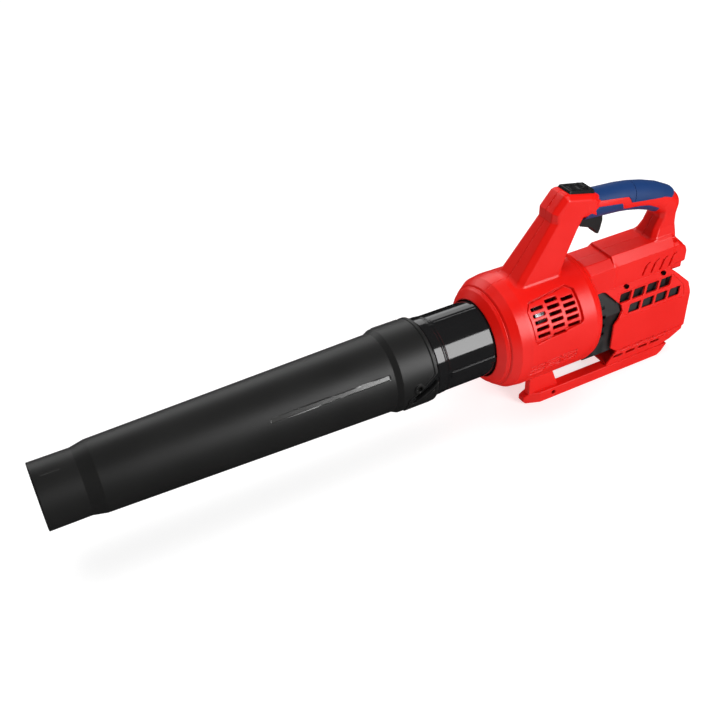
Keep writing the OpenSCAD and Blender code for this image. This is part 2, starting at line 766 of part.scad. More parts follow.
module board_parts() color([0.15, 0.15, 0.16]) seat() {
    for (i = [0 : 1]) translate([0, -14 + i * 16, -34]) bar_x(board_x - 16, board_x, 6);
    for (i = [0 : 2]) block([board_x - 3, -20 + i * 15, -22], [board_x, -12 + i * 15, -14]);
}

module heat_sink() color([0.75, 0.76, 0.78]) seat() {
    block([board_x - 2, -25, -64], [board_x, 25, -46]);
    for (i = [0 : 7]) block([board_x - 13, -24 + i * 6.6, -64], [board_x - 2, -22.5 + i * 6.6, -46]);
}

module terminal_block() color([0.2, 0.2, 0.22]) seat()
    block([bay_x - 5, -16, pack_top_z], [bay_x + 4, 16, guard_top_z - roof_h - 1]);

module terminal_blades() color(brass) seat()
    for (i = [0 : 3]) translate([0, blade_y0 + i * blade_step, 0])
        block([bay_x + 4, -0.5, pack_top_z + 3], [bay_x + 16, 0.5, pack_top_z + 8.5]);

// Wires from the board forward to the motor and up through the spine to the trigger's switch
module wiring() color([0.5, 0.06, 0.05]) seat()
    for (i = [0 : 2]) translate([0, -6 + i * 6, 0]) {
        translate([0, 0, 12]) bar_x(motor_end_x, bay_x - 9, 1.2);
        translate([rear_x + 17, 0, 12]) cylinder(h = deck_z - 24, r = 1.2);
    }

// ---------------------------------------------------------------- battery pack

module pack_outline(inset) polygon([
    [pack_x + inset, pack_low_z + 6], [pack_x + 6, pack_low_z + inset],
    [tail_x - 10, pack_low_z + inset], [tail_x + 1 - inset, pack_low_z + 10],
    [tail_x + 1 - inset, pack_top_z - 8], [tail_x - 7, pack_top_z - inset],
    [pack_x + inset, pack_top_z - inset]
]);

// The pack's case, shrunk by inset: its upper edges lean in like the guard round it
module pack_block(inset) intersection() {
    side_plate(pack_w) pack_outline(inset);
    span_x(0, overall_len) polygon([
        [-pack_w / 2 + inset + slide_gap, pack_low_z],
        [-pack_w / 2 + inset + slide_gap, panel_low_z + 4],
        [-pack_w / 2 + inset, panel_low_z + 8], [-pack_w / 2 + inset, crease_z - 3],
        [-pack_w / 2 + 5 + inset, pack_top_z], [pack_w / 2 - 5 - inset, pack_top_z],
        [pack_w / 2 - inset, crease_z - 3], [pack_w / 2 - inset, panel_low_z + 8],
        [pack_w / 2 - inset - slide_gap, panel_low_z + 4],
        [pack_w / 2 - inset - slide_gap, pack_low_z]
    ]);
}

module battery_upper() color([0.13, 0.13, 0.14]) seat() difference() {
    union() {
        intersection() {
            pack_block(0);
            block([0, -pack_w, split_z], [overall_len, pack_w, 100]);
        }
        block([pack_x, -head_w / 2, pack_top_z - 1], [tail_x - 26, head_w / 2, pack_top_z + head_h]);
    }
    intersection() {
        pack_block(case_wall);
        block([0, -pack_w, split_z - 1], [overall_len, pack_w, 100]);
    }
    for (i = [0 : 3]) translate([0, blade_y0 + i * blade_step, 0])
        block([pack_x - 1, -1.2, pack_top_z + 2.2], [pack_x + 22, 1.2, pack_top_z + head_h + 1]);
    battery_contact_set();
    // Window of the charge gauge
    block([tail_x - 3, -13, gauge_z - 4], [tail_x + 3, 7, gauge_z + 4]);
    translate([0, gauge_y, gauge_z]) bar_x(tail_x - 3, tail_x + 3, button_r + slide_gap);
}

module battery_lower() color([0.16, 0.16, 0.17]) seat() difference() {
    intersection() {
        pack_block(0);
        block([0, -pack_w, -300], [overall_len, pack_w, split_z]);
    }
    intersection() {
        pack_block(case_wall);
        block([0, -pack_w, -300], [overall_len, pack_w, split_z + 1]);
    }
    block([tail_x - 5, -latch_w / 2 - slide_gap, latch_z - latch_h / 2 - slide_gap],
          [tail_x + 3, latch_w / 2 + slide_gap, latch_z + latch_h / 2 + slide_gap]);
    for (spot = pack_screw_spots) translate([spot[0], spot[1], 0])
        translate([0, 0, pack_low_z - 1]) cylinder(h = 5, r = screw_r);
}

module battery_cells() color([0.2, 0.45, 0.7]) seat()
    for (row = [0, 1]) for (i = [0 : 4])
        translate([pack_x + 12 + i * cell_step, 0, pack_low_z + 18 + row * cell_rise])
            bar_y(-cell_len / 2, cell_len / 2, cell_r);

module cell_straps() color([0.78, 0.79, 0.8]) seat() both()
    for (row = [0, 1]) translate([0, 0, row * cell_rise])
        block([pack_x + 8, -pack_w / 2 + case_wall + slide_gap, pack_low_z + 14],
              [pack_x + 92, -cell_len / 2, pack_low_z + 22]);

module battery_board() color([0.1, 0.35, 0.2]) seat()
    block([pack_x + 6, -pack_w / 2 + case_wall, split_z + 2],
          [pack_x + 92, pack_w / 2 - case_wall, split_z + 2 + board_wall]);

// Four pairs of spring contacts, one pair on each side of a slot
module battery_contact_set() for (i = [0 : 3]) translate([0, blade_y0 + i * blade_step, 0]) {
    block([pack_x + 2, -2.6, pack_top_z + 2.8], [pack_x + 20, -1.2, pack_top_z + 8]);
    block([pack_x + 2, 1.2, pack_top_z + 2.8], [pack_x + 20, 2.6, pack_top_z + 8]);
}

module battery_contacts() color(brass) seat() battery_contact_set();

module battery_screws() color(steel) seat()
    for (spot = pack_screw_spots) translate([spot[0], spot[1], 0]) {
        translate([0, 0, pack_low_z + 0.6]) cylinder(h = 6, r = screw_r);
        translate([0, 0, pack_low_z + 2.5]) cylinder(h = 1.6, r = 3);
    }

module battery_latch() color([0.3, 0.3, 0.32]) seat() difference() {
    union() {
        block([tail_x - 2.5, -latch_w / 2, latch_z - latch_h / 2],
              [tail_x + 3, latch_w / 2, latch_z + latch_h / 2]);
        block([tail_x - 4.5, -latch_w / 2 - 2, latch_z - latch_h / 2 - 2],
              [tail_x - 2.5, latch_w / 2 + 2, latch_z + latch_h / 2 + 2]);
    }
    for (i = [0 : 3]) block([tail_x + 2, -latch_w / 2 - 1, latch_z - 5.2 + i * 3],
                            [tail_x + 4, latch_w / 2 + 1, latch_z - 4 + i * 3]);
}

module gauge_button() color([0.35, 0.35, 0.36]) seat() translate([0, gauge_y, gauge_z]) {
    bar_x(tail_x - 3, tail_x + 2, button_r);
    bar_x(tail_x - 4.5, tail_x - 3, 5);
}

module gauge_lens() color([0.6, 0.75, 0.6]) seat()
    block([tail_x - 1.5, -13, gauge_z - 4], [tail_x + 0.7, 7, gauge_z + 4]);

// ---------------------------------------------------------------- runners

// One runner: its front end toes in and its rear end rises
module foot_rail() difference() {
    intersection() {
        side_plate(2 * guard_w) polygon([
            [rear_x - 84, foot_z], [tail_x - 34, foot_z], [tail_x - 28, foot_z + 4],
            [tail_x - 20, foot_top_z], [rear_x - 80, foot_top_z], [rear_x - 88, foot_top_z - 6],
            [rear_x - 88, foot_z + 4]
        ]);
        linear_extrude(600, center = true) polygon([
            [rear_x - 90, -guard_w / 2 + 11], [rear_x - 66, -guard_w / 2 + 2],
            [tail_x, -guard_w / 2 + 2], [tail_x, -guard_w / 2 + 2 + foot_w],
            [rear_x - 62, -guard_w / 2 + 2 + foot_w], [rear_x - 90, -guard_w / 2 + 20]
        ]);
    }
    // Recess of the screw that fixes the runner
    translate([foot_screw_x, 0, foot_screw_z]) {
        bar_y(-guard_w / 2, -guard_w / 2 + 7, 3.4);
        bar_y(-guard_w / 2, -guard_w / 2 + 3 + foot_w, 1.8);
    }
}

module foot_rail_left() color(red) seat() foot_rail();

module foot_rail_right() color([0.82, 0.09, 0.07]) seat() mirror([0, 1, 0]) foot_rail();

module foot_screws() color(steel) seat() both() translate([foot_screw_x, 0, foot_screw_z]) {
    bar_y(-guard_w / 2 + 7, -guard_w / 2 + 1 + foot_w, 1.8);
    bar_y(-guard_w / 2 + 5, -guard_w / 2 + 7, 3);
}

blower_tube();
tube_seal();
duct_tube();
stator_vanes();
fan();
fan_nut();
motor_shaft();
rotor_core();
rotor_magnets();
motor_bracket();
motor_can();
end_bell();
motor_core();
motor_windings();
bearing_front();
bearing_rear();
motor_screws();
housing_left();
housing_right();
front_ring();
grip_top();
grip_bottom();
housing_screws();
cradle();
guard_left();
guard_right();
guard_screws();
foot_rail_left();
foot_rail_right();
foot_screws();
trigger();
trigger_pin();
trigger_spring();
trigger_switch();
switch_bezel();
speed_rocker();
rocker_pin();
control_board();
board_parts();
heat_sink();
terminal_block();
terminal_blades();
wiring();
battery_upper();
battery_lower();
battery_cells();
cell_straps();
battery_contacts();
battery_board();
battery_screws();
battery_latch();
gauge_button();
gauge_lens();
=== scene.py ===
import math
from concurrent.futures import ThreadPoolExecutor

import bpy
import numpy as np
import openvdb
from mathutils import Matrix, Vector


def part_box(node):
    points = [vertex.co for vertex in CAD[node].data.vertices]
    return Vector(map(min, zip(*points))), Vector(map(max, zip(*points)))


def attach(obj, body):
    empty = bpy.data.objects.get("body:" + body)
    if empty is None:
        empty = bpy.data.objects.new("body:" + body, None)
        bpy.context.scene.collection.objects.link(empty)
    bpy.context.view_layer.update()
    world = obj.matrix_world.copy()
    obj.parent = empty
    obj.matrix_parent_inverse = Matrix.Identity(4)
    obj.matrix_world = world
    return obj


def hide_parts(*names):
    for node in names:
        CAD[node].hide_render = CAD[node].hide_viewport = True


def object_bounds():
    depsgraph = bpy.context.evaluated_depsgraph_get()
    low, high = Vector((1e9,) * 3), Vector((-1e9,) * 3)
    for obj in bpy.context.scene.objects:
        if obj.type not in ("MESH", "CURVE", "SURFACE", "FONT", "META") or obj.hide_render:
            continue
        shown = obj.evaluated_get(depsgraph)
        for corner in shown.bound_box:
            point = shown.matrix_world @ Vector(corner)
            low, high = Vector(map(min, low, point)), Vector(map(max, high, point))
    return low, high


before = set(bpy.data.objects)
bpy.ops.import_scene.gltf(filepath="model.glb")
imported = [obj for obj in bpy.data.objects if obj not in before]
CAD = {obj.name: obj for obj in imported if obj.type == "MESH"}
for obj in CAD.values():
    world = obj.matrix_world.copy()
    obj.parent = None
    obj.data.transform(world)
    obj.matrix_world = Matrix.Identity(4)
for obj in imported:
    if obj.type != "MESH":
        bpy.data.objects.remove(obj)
cad_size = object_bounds()


# ---- Blower tube ---------------------------------------------------------------------------
# A tapered tube of matt black polypropylene, straight at the nozzle and stepped up to a collar.
# The collar twists onto the duct: its slanted slots catch two lugs, and long flat grooves run
# along the tube's sides.

NOZZLE_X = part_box("blower_tube")[0].x
duct_low, duct_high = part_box("duct_tube")
AXIS_Z = duct_low.z / 2 + duct_high.z / 2


def to_frame(points):
    """Points in millimetres from the nozzle's end on the tube's axis, as metres in the frame."""
    return np.asarray(points, float) / 1000 + np.array([NOZZLE_X, 0, AXIS_Z])


def inset(points, depth):
    """The corners of a closed outline moved in by depth."""
    p = np.array(points, float)
    after = np.roll(p, -1, 0)
    turn = np.sign(np.sum(p[:, 0] * after[:, 1] - p[:, 1] * after[:, 0]))
    edge = after - p
    edge /= np.hypot(edge[:, 0], edge[:, 1])[:, None]
    normal = turn * np.stack([-edge[:, 1], edge[:, 0]], 1)
    before = np.roll(normal, 1, 0)
    return p + depth * (normal + before) / (1 + np.sum(normal * before, 1))[:, None]


def outline(points, corner=0.0):
    """A closed flat outline as a distance from it, below zero inside, its corners rounded."""
    start = inset(points, corner) if corner else np.array(points, float)
    corners = [tuple(map(np.float32, row)) for row in np.hstack([start, np.roll(start, -1, 0)])]

    def away(a, b):
        near = np.full(a.shape, 1e9, np.float32)
        inside = np.zeros(a.shape, bool)
        for a0, b0, a1, b1 in corners:
            run_a, run_b = a1 - a0, b1 - b0
            from_a, from_b = a - a0, b - b0
            share = (from_a * run_a + from_b * run_b) / (run_a * run_a + run_b * run_b)
            share = np.clip(share, 0, 1)
            near = np.minimum(near, (from_a - run_a * share) ** 2 + (from_b - run_b * share) ** 2)
            if run_b != 0:
                inside ^= ((b0 <= b) != (b1 <= b)) & (from_a < from_b * (run_a / run_b))
        return np.where(inside, -1, 1) * np.sqrt(near) - np.float32(corner)

    return away


def meet(a, b, edge):
    """Distance to what two forms have in common, with their meeting edge rounded."""
    if not edge:
        return np.maximum(a, b)
    return np.minimum(-edge, np.maximum(a, b)) + np.hypot(
        np.maximum(a + edge, 0), np.maximum(b + edge, 0)
    )


def common(f, g, edge=0.0):
    return lambda x, y, z: meet(f(x, y, z), g(x, y, z), edge)


def cut(f, g, edge=0.0):
    return lambda x, y, z: meet(f(x, y, z), -g(x, y, z), edge)


def join(f, g, fillet=0.0):
    return lambda x, y, z: -meet(-f(x, y, z), -g(x, y, z), fillet)


def turned(flat):
    """A solid of revolution about the axis, from an outline of (x, radius)."""
    return lambda x, y, z: flat(x, np.hypot(y, z))


def plate(flat, half, edge=0.8, bevel=0.0, middle=0.0):
    """An outline of (x, z) made solid across Y; half may depend on the place."""

    def away(x, y, z):
        side = flat(x, z)
        face = np.abs(y - middle) - (half(x, z) if callable(half) else half)
        solid = meet(side, face, edge)
        if bevel:
            solid = meet(solid, (side + face + bevel) * 0.7071, edge)
        return solid

    return away


def span(flat, start, end, edge=0.8):
    """An outline of (y, z) made solid from start to end along X."""
    middle, half = (start + end) / 2, (end - start) / 2
    return lambda x, y, z: meet(flat(y, z), np.abs(x - middle) - half, edge)


def block(low, high, edge=0.5):
    middle = [(a + b) / 2 for a, b in zip(low, high)]
    half = [(b - a) / 2 - edge for a, b in zip(low, high)]

    def away(x, y, z):
        gap = [np.abs(v - m) - h for v, m, h in zip((x, y, z), middle, half)]
        outside = np.sqrt(sum(np.maximum(g, 0) ** 2 for g in gap))
        return outside + np.minimum(np.maximum(np.maximum(*gap[:2]), gap[2]), 0) - edge

    return away


def rod(start, end, radius, edge=0.3):
    """A straight round bar from one point to another."""
    start = np.array(start, np.float32)
    along = np.array(end, np.float32) - start
    length = float(np.linalg.norm(along))
    along = along / length

    def away(x, y, z):
        gap = [v - s for v, s in zip((x, y, z), start)]
        run = sum(g * a for g, a in zip(gap, along))
        off = np.sqrt(sum((g - run * a) ** 2 for g, a in zip(gap, along)))
        return meet(off - radius, np.abs(run - length / 2) - length / 2, edge)

    return away


def spun(shape, degrees):
    """The same form turned about the tube's axis."""
    c, s = math.cos(math.radians(degrees)), math.sin(math.radians(degrees))
    return lambda x, y, z: shape(x, y * c + z * s, z * c - y * s)


def tilted(shape, degrees, pivot):
    """The same form tipped in the side view, nose down, about a pivot (x, z)."""
    c, s = math.cos(math.radians(degrees)), math.sin(math.radians(degrees))
    px, pz = pivot

    def away(x, y, z):
        dx, dz = x - px, z - pz
        return shape(px + dx * c - dz * s, y, pz + dx * s + dz * c)

    return away


def measured(shape, points):
    """The distance at many points, worked out in four threads."""
    parts = np.array_split(np.asarray(points, np.float32), max(1, len(points) // 40000))
    with ThreadPoolExecutor(4) as pool:
        return np.concatenate(list(pool.map(lambda p: shape(*p.T), parts)))


BLOCK = 6


def skin(shape, low, high, step):
    """The surface of a form between two corners: its points, faces and normals."""
    count = np.ceil((np.array(high) - low) / step / BLOCK).astype(int)
    cells = np.stack(np.meshgrid(*[np.arange(c) for c in count], indexing="ij"), -1).reshape(-1, 3)
    centre = np.array(low) + (cells * BLOCK + BLOCK / 2 - 0.5) * step
    rough = measured(shape, centre)
    band = 3 * step
    grid = np.repeat(np.repeat(np.repeat(
        np.where(rough < 0, -band, band).astype(np.float32).reshape(count), BLOCK, 0), BLOCK, 1), BLOCK, 2)
    near = cells[np.abs(rough) < BLOCK * step * 0.95 + step]
    offsets = np.stack(np.meshgrid(*[np.arange(BLOCK)] * 3, indexing="ij"), -1).reshape(-1, 3)
    places = near[:, None, :] * BLOCK + offsets[None]
    flat = places.reshape(-1, 3)
    values = measured(shape, np.array(low) + flat * step)
    grid[tuple(flat.T)] = np.clip(values, -band, band)
    volume = openvdb.FloatGrid(float(band))
    volume.copyFromArray(grid)
    points, _, quads = volume.convertToPolygons(0.0, 0.0)
    points = np.array(low) + points * step
    probe = step * 0.2
    corners = np.array([(1, -1, -1), (-1, -1, 1), (-1, 1, -1), (1, 1, 1)], float)
    for _ in range(3):
        slope = sum(c[None] * measured(shape, points + c * probe)[:, None] for c in corners)
        slope = slope / (4 * probe)
        size = np.maximum(np.linalg.norm(slope, axis=1), 0.3)[:, None]
        move = measured(shape, points)[:, None] * slope / size**2
        points = points - np.clip(move, -step, step)
    normals = slope / np.maximum(np.linalg.norm(slope, axis=1), 1e-6)[:, None]
    a, b, c = (points[quads[:, i]] for i in range(3))
    facing = np.sum(np.cross(b - a, c - a) * normals[quads[:, 0]], 1)
    if np.sum(facing) < 0:
        quads = quads[:, ::-1]
    return points, quads, normals


def piece(name, points, faces, normals, material):
    """An object from a surface in millimetres on the tube's axis."""
    mesh = bpy.data.meshes.new(name)
    mesh.from_pydata(to_frame(points), [], faces.tolist())
    mesh.validate()
    mesh.polygons.foreach_set("use_smooth", np.ones(len(mesh.polygons), bool))
    if len(mesh.vertices) == len(normals):
        mesh.normals_split_custom_set_from_vertices(normals.tolist())
    mesh.materials.append(material)
    thing = bpy.data.objects.new(name, mesh)
    bpy.context.scene.collection.objects.link(thing)
    return thing


def moulded(name, shape, low, high, step, material, body, nodes):
    """Makes a moulded part that stands for CAD nodes and moves with a body."""
    fineness = 1.0
    thing = piece(name, *skin(shape, low, high, step * fineness), material)
    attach(thing, body)
    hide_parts(*nodes)
    return thing


class Wire:
    """A value, colour or vector inside a material, which takes part in sums like a number."""

    def __init__(self, finish, socket):
        self.finish, self.socket = finish, socket

    def sum(self, operation, first, second):
        return self.finish.node("ShaderNodeMath", {"operation": operation}, {0: first, 1: second})

    def __add__(self, other):
        return self.sum("ADD", self, other)

    __radd__ = __add__

    def __mul__(self, other):
        return self.sum("MULTIPLY", self, other)

    __rmul__ = __mul__

    def __sub__(self, other):
        return self.sum("SUBTRACT", self, other)

    def __rsub__(self, other):
        return self.sum("SUBTRACT", other, self)


class Finish:
    """A material as it is put together: one shader and the nodes that feed it."""

    def __init__(self, name, **constants):
        self.material = bpy.data.materials.new(name)
        self.material.use_nodes = True
        self.nodes = self.material.node_tree.nodes
        self.links = self.material.node_tree.links
        self.shader = self.nodes["Principled BSDF"]
        for key, value in constants.items():
            self.shader.inputs[key.replace("_", " ")].default_value = value
        self.place = self.node("ShaderNodeTexCoord", {}, {}, "Object")

    def node(self, kind, settings, feeds, output=0):
        made = self.nodes.new(kind)
        for key, value in settings.items():
            setattr(made, key, value)
        for key, value in feeds.items():
            if isinstance(value, Wire):
                self.links.new(value.socket, made.inputs[key])
            else:
                made.inputs[key].default_value = value
        return Wire(self, made.outputs[output])

    def feed(self, key, wire):
        self.links.new(wire.socket, self.shader.inputs[key])

    def noise(self, scale, detail=2.0, rough=0.5):
        return self.node("ShaderNodeTexNoise", {}, {
            "Vector": self.place, "Scale": scale, "Detail": detail, "Roughness": rough})

    def ranged(self, wire, low, high, start=0.0, end=1.0):
        """A value's stretch from low to high spread over start to end."""
        return self.node("ShaderNodeMapRange", {}, {
            "Value": wire, "From Min": low, "From Max": high, "To Min": start, "To Max": end})

    def blended(self, mask, first, second):
        """A colour between two, by a mask from 0 to 1."""
        made = self.nodes.new("ShaderNodeMix")
        made.data_type = "RGBA"
        self.links.new(mask.socket, made.inputs["Factor"])
        for socket, value in ((made.inputs[6], first), (made.inputs[7], second)):
            if isinstance(value, Wire):
                self.links.new(value.socket, socket)
            else:
                socket.default_value = (*value, 1)
        return Wire(self, made.outputs[2])

    def bumped(self, height, strength, distance):
        bump = self.node("ShaderNodeBump", {}, {
            "Height": height, "Strength": strength, "Distance": distance})
        self.feed("Normal", bump)


def plastic(name, colour, shade, roughness, grain, grain_depth, worn, **constants):
    """Moulded plastic: a fine grain, slightly uneven gloss, and edges that wear paler."""
    finish = Finish(name, **constants)
    uneven = finish.noise(14, 3)
    edge = finish.node("ShaderNodeNewGeometry", {}, {}, "Pointiness")
    rubbed = finish.ranged(edge, 0.53, 0.62) * finish.ranged(finish.noise(60, 4), 0.4, 0.7)
    body = finish.blended(finish.ranged(uneven, 0.3, 0.7), shade, colour)
    finish.feed("Base Color", finish.blended(rubbed, body, worn))
    finish.feed("Roughness", finish.ranged(uneven, 0.3, 0.7, roughness - 0.03, roughness + 0.03))
    finish.bumped(finish.noise(grain, 2, 0.6), 0.35, grain_depth)
    return finish.material


tube_black = plastic("tube_black", (0.012, 0.012, 0.0117), (0.010, 0.010, 0.0098), 0.47, 1500,
                     0.00012, (0.03, 0.03, 0.029), Specular_IOR_Level=0.42)

TUBE_END = 457.0
COLLAR_START = 411.0
COLLAR_R, COLLAR_BORE_R = 52.0, 48.6
SHOULDER_X = 404.0
TUBE_REAR_R = 48.6
TUBE_WALL = 2.2
FLARE_X, FLARE_R = 62.0, 41.3
NOZZLE_LEN, NOZZLE_R = 46.0, 38.0
tube_slope = (TUBE_REAR_R - FLARE_R) / (SHOULDER_X - FLARE_X)


def round_place(x, y, z, radius):
    """Where a point lies round the axis: arc length above the side that faces -Y, and depth."""
    return np.arctan2(z, -y) * radius, np.hypot(y, z) - radius


def round_patch(flat, radius, deep, turn=0.0, proud=0.0, edge=0.3):
    """A patch of outline (x, arc length) wrapped round the axis, from deep below to proud above."""
    middle, half = (proud - deep) / 2, (proud + deep) / 2

    def away(x, y, z):
        arc, depth = round_place(x, y, z, radius)
        return meet(flat(x, arc), np.abs(depth - middle) - half, edge)

    return spun(away, turn)


def slanted(start, end, radius):
    """A straight slot with round ends between two places (x, arc length)."""
    (x0, s0), (x1, s1) = start, end
    run_x, run_s = x1 - x0, s1 - s0

    def away(x, s):
        share = np.clip(((x - x0) * run_x + (s - s0) * run_s) / (run_x**2 + run_s**2), 0, 1)
        return np.hypot(x - x0 - run_x * share, s - s0 - run_s * share) - radius

    return away


tube_form = turned(outline([
    (0, NOZZLE_R), (NOZZLE_LEN, NOZZLE_R), (FLARE_X, FLARE_R), (SHOULDER_X, TUBE_REAR_R),
    (COLLAR_START, COLLAR_R), (TUBE_END, COLLAR_R), (TUBE_END, COLLAR_BORE_R), (412, COLLAR_BORE_R),
    (412, TUBE_REAR_R - TUBE_WALL), (FLARE_X, FLARE_R - TUBE_WALL), (NOZZLE_LEN, NOZZLE_R - TUBE_WALL),
    (0, NOZZLE_R - TUBE_WALL)], 0.7))


GROOVE_START, GROOVE_END = 251, 398
GROOVE_TURN = math.radians(30)


def long_groove(x, y, z):
    """A flat-floored groove that deepens towards the collar; there is one on each side."""
    surface = FLARE_R + (x - FLARE_X) * tube_slope
    depth = 0.4 + np.clip((x - GROOVE_START) / (GROOVE_END - GROOVE_START), 0, 1) * 0.7
    out = -y * math.cos(GROOVE_TURN) + z * math.sin(GROOVE_TURN)
    across = y * math.sin(GROOVE_TURN) + z * math.cos(GROOVE_TURN)
    floor = surface - depth - np.abs(out)
    beyond = np.maximum(GROOVE_START - x, x - GROOVE_END)
    return np.maximum(np.maximum(np.abs(across) - 2.7, floor), beyond)


tube_form = cut(tube_form, long_groove, 0.35)
end_bead = turned(outline([(452.5, 50), (452.5, 52.9), (456.9, 52.9), (456.9, 50)], 0.6))
tube_form = join(tube_form, end_bead, 0.5)
BOSS = ((430.5, 0.9), (430.6, 1.0))
SLOT = ((424, -15.5), (475, 21))
for half_turn in (0, 180):
    boss = round_patch(slanted(*BOSS, 6.2), COLLAR_R, 1, half_turn, 1.6, 0.5)
    hole = round_patch(slanted(*BOSS, 3.4), COLLAR_R, 2.2, half_turn, 4, 0.3)
    pad = round_patch(outline([(417, -41), (417, -20), (424, -15), (441, -15), (452, -8), (452, -41)], 1.5),
                      COLLAR_R, 1, half_turn, 1.2, 0.5)
    slot = round_patch(slanted(*SLOT, 4.8), COLLAR_R, 6, half_turn, 6, 0.3)
    rim = round_patch(slanted(*SLOT, 7.0), COLLAR_R, 1, half_turn, 1.2, 0.4)
    tube_form = join(join(tube_form, boss, 0.6), pad, 0.5)
    tube_form = join(tube_form, common(rim, lambda x, y, z: x - 455, 0.3), 0.5)
    tube_form = cut(cut(tube_form, hole, 0.3), slot, 0.4)
mould_line = round_patch(slanted((9, 0), (29, 0), 0.5), NOZZLE_R, 0.25, -73, 2, 0.1)
tube_form = cut(tube_form, mould_line, 0.1)

tube_shell = moulded("blower_tube_shell", tube_form, (-3, -56, -56), (461, 56, 56), 1.0, tube_black,
                     "tube", ["blower_tube"])
# The groove floors are glossier, and their paler grey is a painted reflection of the light that their flat
# faces catch.
tube_shell.data.materials.append(plastic("groove_gloss_painted_sheen", (0.05, 0.05, 0.049), (0.04, 0.04, 0.039), 0.2,
                                         700, 0.00001, (0.06, 0.06, 0.06), Specular_IOR_Level=0.7))
middles = np.array([face.center for face in tube_shell.data.polygons])
in_groove = measured(long_groove, (middles - to_frame((0, 0, 0))) * 1000) < 0.15
tube_shell.data.polygons.foreach_set("material_index", in_groove.astype(np.int32))


# ---- Duct ----------------------------------------------------------------------------------
# The fixed duct between the tube and the body, in polished black ABS. Four flat ribs stiffen it
# and a low band marks how far the tube's collar slides on.

duct_black = plastic("duct_black", (0.012, 0.012, 0.0125), (0.010, 0.010, 0.0105), 0.09, 900,
                     0.00002, (0.03, 0.03, 0.03), Coat_Weight=0.1, Coat_Roughness=0.04,
                     Specular_IOR_Level=0.45)
DUCT_R, DUCT_BORE_R = 48.0, 45.8
duct_form = turned(outline([
    (413, DUCT_R), (585, DUCT_R), (599, 56), (599, 53.8), (585, DUCT_BORE_R), (413, DUCT_BORE_R)], 0.5))
duct_form = join(duct_form, turned(outline([(460, 47), (460, 48.9), (471, 48.9), (471, 47)], 0.5)), 0.8)
duct_form = join(duct_form, turned(outline([(473.5, 47), (473.5, 48.5), (475, 48.5), (475, 47)], 0.3)), 0.3)
LUG_TURN = math.radians(17)
for turn in range(0, 360, 90):
    rib = round_patch(outline([(477, -4), (477, 4), (539, 4), (539, -4)], 1.0), DUCT_R, 1, turn, 1.25, 0.3)
    duct_form = join(duct_form, rib, 0.5)
for half_turn in (0, 180):
    lug = rod(*[(424, far * -math.cos(LUG_TURN), far * -math.sin(LUG_TURN)) for far in (46.5, 51.6)], 4)
    duct_form = join(duct_form, spun(lug, half_turn), 0.6)

moulded("duct_shell", duct_form, (409, -60, -60), (602, 60, 60), 0.9, duct_black, "root",
        ["duct_tube"])


# ---- Body shells and mouth ring ------------------------------------------------------------
# Two mirrored shells of satin red ABS, screwed together from the far side. Each holds half of
# the round motor housing, the spine behind it and the loop handle that joins the two.

shell_red = plastic("shell_red", (0.78, 0.009, 0.005), (0.72, 0.007, 0.004), 0.33, 2600,
                    0.00006, (0.84, 0.05, 0.04), Specular_IOR_Level=0.38)

HOUSING_R = 73.0
REAR_X = 688.0
DECK_Z = 66.0
TAIL_X = 853.0

ring_form = turned(outline([
    (543, 49.7), (539.2, 49.7), (539.2, 51.4), (546.4, 60.4), (550, 62.6), (550.2, 62.6), (550.2, 54)],
    0.5))
moulded("mouth_ring", ring_form, (536, -66, -66), (554, 66, 66), 0.7, shell_red, "root",
        ["front_ring"])

barrel = turned(outline([
    (550.4, -30), (550.4, 61.4), (552, 64.8), (562, 71.2), (576, HOUSING_R), (672, HOUSING_R),
    (679.5, 70.6), (685.6, 64.8), (REAR_X, 61), (REAR_X, -30)], 0.5))
hollow = turned(outline([
    (500, -30), (500, DUCT_R + 0.8), (552, DUCT_R + 0.8), (556, 56), (576, 67.6), (672, 67.6),
    (683, 60), (683, -30)], 0.8))


def leg_half(x, z):
    return 24.3 - np.clip((z - 66) / 72, 0, 1.02) * 6.2


front_leg = plate(outline([
    (580, 50), (584.5, 71), (635.2, 141), (635.4, 150.4), (650.0, 168.8), (654, 169.8), (695, 160.6),
    (702, 156), (701, 128), (684, 134), (680.5, 132), (673, 120), (660, 94), (648.5, 66),
    (640, 40)], 1.2), leg_half, 0.9, 6.2)
brow = plate(outline([
    (640, 128), (633.4, 140.2), (633.6, 151), (649.3, 169.3), (655, 170.4), (690, 162), (700, 150),
    (690, 133)], 1.2), 17.6, 0.9, 5.6)
front_leg = join(front_leg, brow, 1.0)


GRIP_LINE = [(676, 143.2), (706, 140.6), (739, 138.0), (757, 135.2), (777, 130.4), (797, 123.6),
             (815, 114.6), (823, 107)]


def line_away(x, y, z):
    """Distance from the grip's curved middle line."""
    near = np.full(x.shape, 1e9, np.float32)
    for (x0, z0), (x1, z1) in zip(GRIP_LINE[:-1], GRIP_LINE[1:]):
        run_x, run_z = x1 - x0, z1 - z0
        share = np.clip(((x - x0) * run_x + (z - z0) * run_z) / (run_x**2 + run_z**2), 0, 1)
        near = np.minimum(near, (x - x0 - run_x * share) ** 2 + (z - z0 - run_z * share) ** 2)
    return np.sqrt(near + y * y)


GRIP_R = 17.4
grip_core = common(lambda x, y, z: line_away(x, y, z) - GRIP_R, lambda x, y, z: 684 - x)


def rear_half(x, z):
    return 15.6 + np.clip((80 - z) / 16, 0, 1) * 4.5


rear_leg = plate(outline([
    (793.5, 62), (794.5, 68), (806.5, 94), (807, 101), (800, 112), (812, 130), (822, 124), (831, 113.5),
    (834.4, 99), (835.6, 76), (836, 60)], 1.5), rear_half, 0.9, 5.0)
handle = join(join(front_leg, grip_core, 2.5), rear_leg, 3.0)

